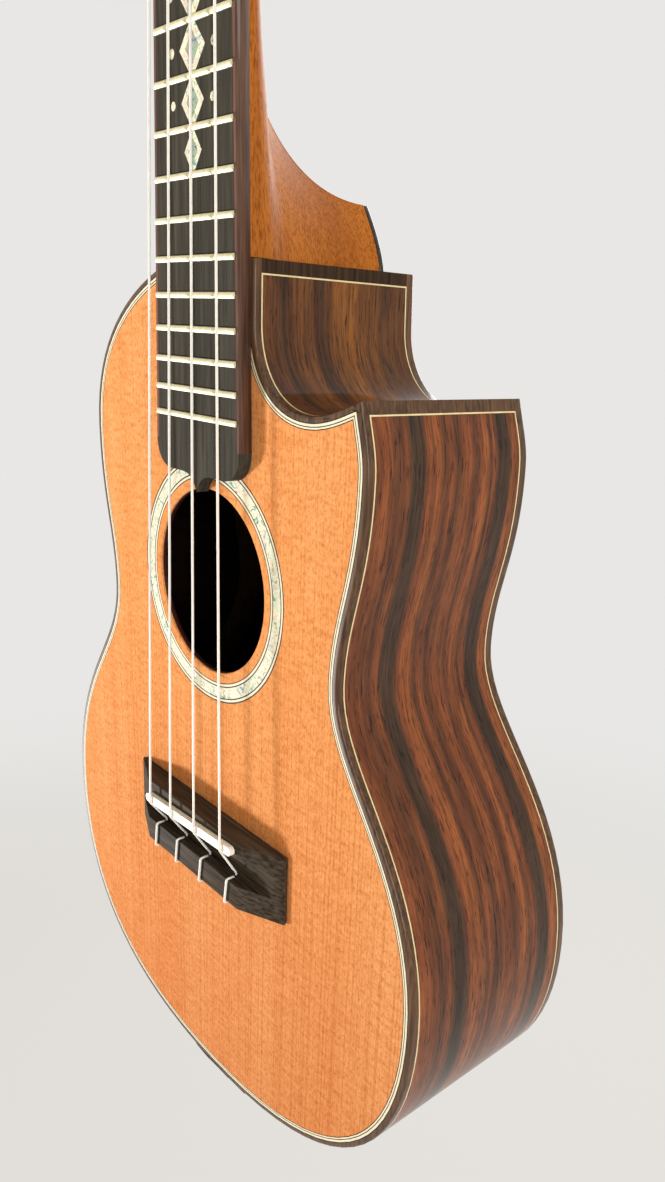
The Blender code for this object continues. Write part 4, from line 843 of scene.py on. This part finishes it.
def neck_depth(y):
    """The neck's depth on its middle line, which thickens into the headstock."""
    thin = NECK_AT_NUT + (NECK_AT_HEEL - NECK_AT_NUT) * y / (JOINT_Y + HEEL_START)
    rise = max(0.0, 1 + (y - 5 * MM) / (20 * MM))
    return thin + rise**2 * (HEAD_THICKNESS - NECK_AT_NUT)


def heel_profile(steps):
    """(y, depth) of the heel's front edge, from the neck down to the cap."""
    start, end = (JOINT_Y + HEEL_START, NECK_AT_HEEL), (JOINT_Y + HEEL_SPAN, HEEL_DEPTH)
    sweep, drop = (start[0] - HEEL_SWEEP, start[1]), (end[0], NECK_AT_HEEL + HEEL_DROP)
    return np.array(bezier(start, sweep, drop, end, steps) + [np.array(end)])


HEEL_EDGE = heel_profile(80)


def neck_half(y, depth):
    """Half the neck's width at a depth: a round shaft, coved near the body, and a pointed heel."""
    near = min(1.0, max(0.0, (JOINT_Y + HEEL_START - y) / (HEEL_START - HEEL_SPAN)))
    near = near * near * (3 - 2 * near)
    share = min(1.0, depth / (neck_depth(y) + near * COVE_DEPTH))
    root = 1 / SHAFT_POWER + near * (COVE_POWER - 1 / SHAFT_POWER)
    shaft = (1 - share**SHAFT_POWER) ** root
    front = np.interp(depth, HEEL_EDGE[:, 1], HEEL_EDGE[:, 0])
    along = min(1.0, max(0.0, (y - JOINT_Y) / (front - JOINT_Y)))
    wide = HEEL_HALF + (JOINT_HALF - HEEL_HALF) * (1 - min(1.0, depth / HEEL_DEPTH)) ** 1.6
    heel = min(1.0, wide / board_half(y) * (1 - along**HEEL_POINT))
    return board_half(y) * math.sqrt(1 - (1 - shaft**2) * (1 - heel**2))


def neck_ring(y, depth):
    """One cross-section: down the treble side and up the bass side."""
    right = []
    steps = 40
    for step in range(steps + 1):
        level = depth * math.sin(math.pi / 2 * step / steps) ** 1.15
        half = max(THINNEST_HALF, neck_half(y, level))
        right.append((half, y, -level))
    return right + [(-x, place, z) for x, place, z in reversed(right)]


def skin(name, rings):
    """A closed skin over rings of places: a grid with its seam joined and its ends filled."""
    around = len(rings[0])
    bpy.ops.object.select_all(action="DESELECT")
    bpy.ops.mesh.primitive_grid_add(x_subdivisions=around, y_subdivisions=len(rings) - 1, size=1)
    obj = bpy.context.active_object
    obj.name = name
    for row, ring in enumerate(rings):
        for column, place in enumerate([*ring, ring[0]]):
            obj.data.vertices[row * (around + 1) + column].co = place
    clean(obj, fill=True)
    return obj


def head_plan(start):
    """The headstock's outline in its own plane, with a small crest at its top."""
    side, side_start = 26.5 * MM, 20 * MM
    half = [(NUT_HALF, start)]
    half += bezier(
        (NUT_HALF, start + 2 * MM), (NUT_HALF, 12 * MM), (side, 10 * MM), (side, side_start), 14
    )
    half += [(side, side_start)]
    level, corner = HEAD_LENGTH - 7 * MM, HEAD_LENGTH - 11.2 * MM
    shoulder, crest = (18 * MM, level), (0, HEAD_LENGTH)
    half += bezier((30 * MM, corner), (30 * MM, corner + 3.5 * MM), (24 * MM, level), shoulder, 12)
    half += bezier(shoulder, (7 * MM, level), (3 * MM, HEAD_LENGTH - 1 * MM), crest, 12)
    half = [tuple(p) for p in half]
    return half + [crest] + [(-x, y) for x, y in reversed(half)]


def post_holes():
    return [circle(POST_HOLE, y * MM, 32, x * MM) for x, y in POST_PLACES]


def dress_neck():
    """The shaft and heel as one skin, and the headstock with its striped face."""
    shaft_places = (5.5, 3, 0, -3, -6, -9, -12, -15, -40, -80, -120)
    heel_shares = (0.85, 0.7, 0.5, 0.35, 0.2, 0.1, 0)
    foot = JOINT_Y + GAP
    rings = [neck_ring(y * MM, neck_depth(y * MM)) for y in shaft_places]
    rings += [neck_ring(y, depth) for y, depth in heel_profile(60)]
    rings += [neck_ring(foot + share * HEEL_SPAN, HEEL_DEPTH) for share in heel_shares]
    shaft = skin("mahogany_neck", rings)
    smooth(shaft, 40)
    belongs(stand(shaft), "body", "mahogany", NECK_WOOD, "neck")
    head = flat_shape("mahogany_headstock", [head_plan(0), *post_holes()], -HEAD_THICKNESS, 0)
    soften(head, 0.8 * MM, segments=3)
    smooth(head, 40)
    belongs(stand(head, HEAD), "body", "mahogany", NECK_WOOD)
    veneer = flat_shape("rosewood_veneer", [head_plan(1.2 * MM), *post_holes()], 0, VENEER)
    soften(veneer, 0.3 * MM)
    smooth(veneer, 40)
    belongs(stand(veneer, HEAD), "body", "rosewood", BACK_WOOD, "headstock_veneer")
    polished("heel_cap", "black_heel_cap", CAP_BLACK, edge=0.3 * MM)
    polished("nut", "bone_nut", BONE, edge=0.15 * MM)


def dress_bridge():
    """The bridge, its foot lowered onto the soundboard, and the slanted saddle in it."""
    bridge = polished("bridge", "carved_bridge", BRIDGE_WOOD, edge=0.25 * MM, degrees=25)
    for vertex in bridge.data.vertices:
        if abs(vertex.co.y + GAP) < 0.05 * MM:
            vertex.co.y = 0.02 * MM
    half, radius = 29.8 * MM, 1.75 * MM
    plan = []
    for side in (0, math.pi):
        centre = (half - radius) * math.cos(side)
        turns = [side + math.pi / 2 * (step / 6 - 1) for step in range(13)]
        plan += [(centre + radius * math.cos(a), radius * math.sin(a)) for a in turns]
    saddle = flat_shape("bone_saddle", [plan], 3.0 * MM, 11.05 * MM)
    soften(saddle, 0.9 * MM, segments=4)
    smooth(saddle, 50)
    place = Matrix.Translation((0, SADDLE_Y, 0)) @ Matrix.Rotation(SADDLE_SLANT, 4, "Z")
    belongs(stand(saddle, UPRIGHT @ place), "body", "bone", BONE, "saddle")


def dress_strings():
    for number in range(1, 5):
        polished(f"string_{number}", f"nylon_string_{number}", NYLON, degrees=60, flatten=0)


def dress_frets():
    for number in range(1, 20):
        polished(f"fret_{number:02d}", f"fret_wire_{number:02d}", FRET_METAL, degrees=50)


def dress_inside():
    """What shows through the sound hole keeps its solids, with wood painted near black as the body's
    inner shade on them.
    """
    woods = {"spruce": SHADED_SPRUCE, "mahogany": SHADED_INSIDE_WOOD, "rosewood": SHADED_INSIDE_WOOD}
    slots = {s["node"]: s["material_slot"] for s in frame["record"]["subparts"]}
    for node in (
        "head_block",
        "tail_block",
        "top_lining",
        "back_lining",
        "upper_brace",
        "lower_brace",
        "fan_brace_bass",
        "fan_brace_treble",
        "bridge_plate",
        "back_brace",
    ):
        obj = frame["nodes"][node]
        obj.data.materials.clear()
        obj.data.materials.append(woods[slots[node]])


# Fretboard


def board_half(y):
    return NUT_HALF + (JOINT_HALF - NUT_HALF) * y / JOINT_Y


def fret_y(number):
    return -SCALE_LENGTH * (1 - 2 ** (-number / 12))


BOARD_CORNER = fret_y(19) - 9 * MM


def board_end(half):
    """The ogee end of the fretboard, from its treble corner to the tip."""
    low = BOARD_CORNER - 9.7 * MM
    shoulder, tip = (16 * MM, low), (0, low - 6 * MM)
    curve = bezier((half, BOARD_CORNER), (half, BOARD_CORNER - 6 * MM), (21 * MM, low), shoulder, 14)
    curve += bezier(shoulder, (7 * MM, low), (3 * MM, low + 1 * MM), tip, 14)
    return [tuple(p) for p in curve] + [tip]


def dress_fretboard():
    """Ebony between strips of red-edged dark wood, with the frets' slots left closed."""
    top_y, low = -GAP, 0.02 * MM
    top_half, end_half = board_half(top_y), board_half(BOARD_CORNER)
    trim = BOARD_STRIP + RED_STRIP
    treble = [(top_half - trim, top_y), (end_half - trim, BOARD_CORNER), *board_end(end_half)]
    plan = treble + [(-x, y) for x, y in reversed(treble[:-1])]
    board = flat_shape("ebony_fretboard", [plan], low, BOARD_TOP)
    smooth(board, 30)
    belongs(stand(board), "body", "ebony", BOARD_WOOD, "fretboard")
    for side, word in ((1, "treble"), (-1, "bass")):
        for name, finish, near, far in (
            ("red_line", RED_LINE, trim, BOARD_STRIP),
            ("board_binding", BOARD_EDGE, BOARD_STRIP, 0.0),
        ):
            loop = [
                (side * (top_half - near), top_y),
                (side * (top_half - far), top_y),
                (side * (end_half - far), BOARD_CORNER),
                (side * (end_half - near), BOARD_CORNER),
            ]
            inlaid(f"{name}_{word}", [loop], low, BOARD_TOP, "ebony", finish)


def diamond(y, wide, high):
    return [(wide, y), (0, y + high), (-wide, y), (0, y - high)]


def dress_inlays():
    """Plain lozenges of pale shell with green middles, and dots, set level with the board."""
    # Lozenges: the fret, half the width and half the height. Dots: x, the fret and the radius
    lozenges = ((9, 7.6, 8.8), (10, 7.0, 8.2), (11, 6.2, 7.7), (12, 4.8, 6.6))
    dots = ((-12, 9, 1.6), (12, 9, 1.6), (-11.5, 10, 1.4), (11.5, 10, 1.4))
    dots += ((-11, 11, 1.3), (11, 11, 1.3), (0, 3, 2.6), (0, 5, 2.6), (0, 7, 2.6))
    low, high = BOARD_TOP - INLAY_DEPTH, BOARD_TOP + 0.03 * MM
    middle_high, middle_share = BOARD_TOP + 0.04 * MM, 0.55

    def between(fret):
        return (fret_y(fret - 1) + fret_y(fret)) / 2

    for number, (fret, half, reach) in enumerate(lozenges, 1):
        outer = diamond(between(fret), half * MM, reach * MM)
        inner = diamond(between(fret), middle_share * half * MM, middle_share * reach * MM)
        inlaid(f"lozenge_{number}", [outer, inner], low, high, "shell", SHELL)
        inlaid(f"lozenge_middle_{number}", [inner], low, middle_high, "shell", GREEN_SHELL)
    for number, (x, fret, radius) in enumerate(dots, 1):
        loop = circle(radius * MM, between(fret), 32, x * MM)
        inlaid(f"dot_{number}", [loop], low, high, "shell", SHELL)


# Tuners


def turned(name, profile, steps=48):
    """A round solid about z, built up from a disc ring by ring through (radius, z) places."""
    (first, low), rest = profile[0], profile[1:]
    bpy.ops.object.select_all(action="DESELECT")
    bpy.ops.mesh.primitive_circle_add(
        vertices=steps, radius=first, fill_type="NGON", location=(0, 0, low)
    )
    obj = bpy.context.active_object
    obj.name = name
    bpy.ops.object.mode_set(mode="EDIT")
    bpy.ops.mesh.select_all(action="SELECT")
    for radius, level in rest:
        bpy.ops.mesh.extrude_region_move(TRANSFORM_OT_translate={"value": (0, 0, level - low)})
        share = radius / first
        bpy.ops.transform.resize(value=(share, share, 1), center_override=(0, 0, level))
        first, low = radius, level
    bpy.ops.object.mode_set(mode="OBJECT")
    bpy.ops.object.transform_apply(location=True, rotation=True, scale=True)
    clean(obj)
    return obj


def copied(source, name, place):
    """A copy with its own mesh, moved to its place and applied."""
    obj = bpy.data.objects.new(name, source.data.copy())
    bpy.context.scene.collection.objects.link(obj)
    return stand(obj, place)


def button_knob():
    """An oval knob, a little waisted, on its collar."""
    bpy.ops.object.select_all(action="DESELECT")
    bpy.ops.mesh.primitive_uv_sphere_add(segments=40, ring_count=24, radius=1.0)
    knob = bpy.context.active_object
    knob.scale = (3.2 * MM, 6.3 * MM, KNOB_LENGTH / 2)
    knob.location = (0, 0, KNOB_START + KNOB_LENGTH / 2)
    bpy.ops.object.transform_apply(location=True, rotation=False, scale=True)
    for vertex in knob.data.vertices:
        share = (vertex.co.z - KNOB_START) / KNOB_LENGTH
        vertex.co.y *= 0.80 + 0.20 * math.sin(math.pi * 0.9 * min(1.0, max(0.0, share)))
    smooth(knob, 80)
    return knob


def dress_tuners():
    """Posts, plates and worms from their solids, and the knobs, collars, bushings and screws."""
    knob = button_knob()
    shaft = turned(
        "shaft",
        [
            (1.3 * MM, -8.0 * MM),
            (1.3 * MM, KNOB_START - 1.0 * MM),
            (2.3 * MM, KNOB_START - 0.6 * MM),
            (2.9 * MM, KNOB_START + 0.2 * MM),
            (2.9 * MM, KNOB_START + 1.0 * MM),
            (2.6 * MM, KNOB_START + 1.6 * MM),
        ],
    )
    smooth(shaft, 40)
    loops = [circle(5.0 * MM, steps=48), circle(POST_HOLE, steps=48)]
    bushing = flat_shape("bushing", loops, VENEER, VENEER + 0.9 * MM)
    soften(bushing, 0.2 * MM, segments=3)
    smooth(bushing, 40)
    screw = turned("screw", [(1.2 * MM, 0), (0.95 * MM, 0.35 * MM), (0.4 * MM, 0.6 * MM)], 24)
    smooth(screw, 40)
    for number, (x, y) in enumerate(POST_PLACES, 1):
        side = 1 if x > 0 else -1
        outward = Matrix(((0, 0, side, 0), (1, 0, 0, 0), (0, side, 0, 0), (0, 0, 0, 1)))
        post = HEAD @ Matrix.Translation((x * MM, y * MM, 0))
        worm_place = (x * MM, y * MM - WORM_BELOW_POST, WORM_LEVEL)
        worm = HEAD @ Matrix.Translation(worm_place) @ outward
        button = f"tuner_{number}_button"
        polished(f"tuner_{number}_post", f"tuner_{number}_string_post", TUNER_METAL, degrees=40)
        polished(f"tuner_{number}_plate", f"tuner_{number}_base", TUNER_METAL, edge=0.2 * MM)
        polished(button, f"tuner_{number}_worm", TUNER_METAL, degrees=40)
        oval = copied(knob, f"tuner_{number}_knob", worm)
        belongs(oval, button, "button_plastic", BUTTON_BLACK)
        collar = copied(shaft, f"tuner_{number}_collar", worm)
        belongs(collar, button, "tuner_metal", TUNER_METAL)
        ring = copied(bushing, f"tuner_{number}_bushing", post)
        belongs(ring, "body", "tuner_metal", TUNER_METAL)
        for word, dx in (("inner", -5.6 * MM), ("outer", 5.6 * MM)):
            low = Matrix.Translation((dx, 4 * MM, PLATE_BACK)) @ Matrix.Rotation(math.pi, 4, "X")
            piece = copied(screw, f"tuner_{number}_screw_{word}", post @ low)
            belongs(piece, "body", "tuner_metal", TUNER_METAL)
    for helper in (knob, shaft, bushing, screw):
        bpy.data.objects.remove(helper)


# Studio


BACKDROP = (0.807, 0.799, 0.784, 1)


def soft_lamp(name, place, target, size, power, spread=180):
    light = bpy.data.lights.new(name, "AREA")
    light.shape = "DISK"
    light.size = size
    light.energy = power
    light.spread = math.radians(spread)
    lamp = bpy.data.objects.new(name, light)
    bpy.context.scene.collection.objects.link(lamp)
    lamp.location = place
    heading = Vector(target) - Vector(place)
    lamp.rotation_euler = heading.to_track_quat("-Z", "Y").to_euler()
    lamp.visible_camera = False


def build_studio():
    """A small key lamp, two wide lamps, and a world that lights warmer than it looks."""
    middle = (0, 0, -0.38)
    soft_lamp("key_lamp", (-1.28, -0.85, -1.11), (0.03, 0, -0.12), 0.20, 4.5, 60)
    soft_lamp("right_lamp", (1.52, -0.34, 0.02), middle, 1.2, 16)
    soft_lamp("rear_lamp", (-0.8, 1.7, 0.3), middle, 1.2, 22)
    world = bpy.data.worlds.new("studio")
    bpy.context.scene.world = world
    world.use_nodes = True
    tree = world.node_tree
    tree.nodes.clear()
    output = tree.nodes.new("ShaderNodeOutputWorld")
    light, shown = tree.nodes.new("ShaderNodeBackground"), tree.nodes.new("ShaderNodeBackground")
    light.inputs["Color"].default_value = (1.0, 0.80, 0.46, 1)
    light.inputs["Strength"].default_value = 0.43
    shown.inputs["Color"].default_value = BACKDROP
    path = tree.nodes.new("ShaderNodeLightPath")
    either = tree.nodes.new("ShaderNodeMath")
    either.operation = "MAXIMUM"
    also = tree.nodes.new("ShaderNodeMath")
    also.operation = "MAXIMUM"
    mix = tree.nodes.new("ShaderNodeMixShader")
    tree.links.new(path.outputs["Is Camera Ray"], either.inputs[0])
    tree.links.new(path.outputs["Is Glossy Ray"], either.inputs[1])
    tree.links.new(either.outputs[0], also.inputs[0])
    tree.links.new(path.outputs["Is Transmission Ray"], also.inputs[1])
    tree.links.new(also.outputs[0], mix.inputs["Fac"])
    tree.links.new(light.outputs["Background"], mix.inputs[1])
    tree.links.new(shown.outputs["Background"], mix.inputs[2])
    tree.links.new(mix.outputs["Shader"], output.inputs["Surface"])


def floor_finish():
    """Pale, partly lit by itself, and fading out at its edge."""
    f = Finish("pale_floor", 0.9, specular=0.1)
    tree = f.tree
    glow = f.node("ShaderNodeEmission")
    glow.inputs["Color"].default_value = BACKDROP
    clear = f.node("ShaderNodeBsdfTransparent")
    f.shader.inputs["Base Color"].default_value = (0.80, 0.81, 0.86, 1)
    distance = f.node("ShaderNodeVectorMath", operation="LENGTH")
    f.join(f.coordinates, distance.inputs[0])
    fade = f.node("ShaderNodeMapRange", interpolation_type="SMOOTHSTEP")
    fade.inputs["From Min"].default_value = 1.3
    fade.inputs["From Max"].default_value = 2.5
    f.join(distance.outputs["Value"], fade.inputs["Value"])
    half, faded = f.node("ShaderNodeMixShader"), f.node("ShaderNodeMixShader")
    half.inputs["Fac"].default_value = 0.72
    f.join(f.shader.outputs["BSDF"], half.inputs[1])
    f.join(glow.outputs["Emission"], half.inputs[2])
    f.join(fade.outputs["Result"], faded.inputs["Fac"])
    f.join(half.outputs["Shader"], faded.inputs[1])
    f.join(clear.outputs["BSDF"], faded.inputs[2])
    f.join(faded.outputs["Shader"], tree.nodes["Material Output"].inputs["Surface"])
    return f.material


def lay_floor():
    bpy.ops.object.select_all(action="DESELECT")
    bpy.ops.mesh.primitive_circle_add(vertices=64, radius=2.6, fill_type="NGON", location=(0, 0, 0))
    floor = bpy.context.active_object
    floor.name = "floor"
    floor.location = (0, 0, TAIL_Y - 0.85)
    floor.data.materials.append(floor_finish())


def set_camera():
    """The camera, fitted to where the picture shows the frets, the bridge and the corners."""
    data = bpy.data.cameras.new("camera")
    data.lens = 27.97
    data.sensor_width = 36
    data.shift_x = -0.0274
    data.shift_y = 0.0347
    data.clip_start = 0.01
    camera = bpy.data.objects.new("camera", data)
    bpy.context.scene.collection.objects.link(camera)
    right = Vector((0.66232, 0.74776, 0.04686))
    up = Vector((-0.26147, 0.17207, 0.94975))
    back = Vector((0.70212, -0.64129, 0.30948))
    turn = Matrix((right, up, back)).transposed().to_4x4()
    camera.matrix_world = Matrix.Translation((0.26605, -0.16820, -0.25910)) @ turn
    bpy.context.scene.camera = camera
    bpy.context.scene.view_settings.view_transform = "Standard"


dress_soundboard()
dress_rosette()
dress_bindings()
dress_sides()
dress_back()
dress_neck()
dress_fretboard()
dress_inlays()
dress_frets()
dress_bridge()
dress_strings()
dress_tuners()
dress_inside()
build_studio()
lay_floor()
set_camera()
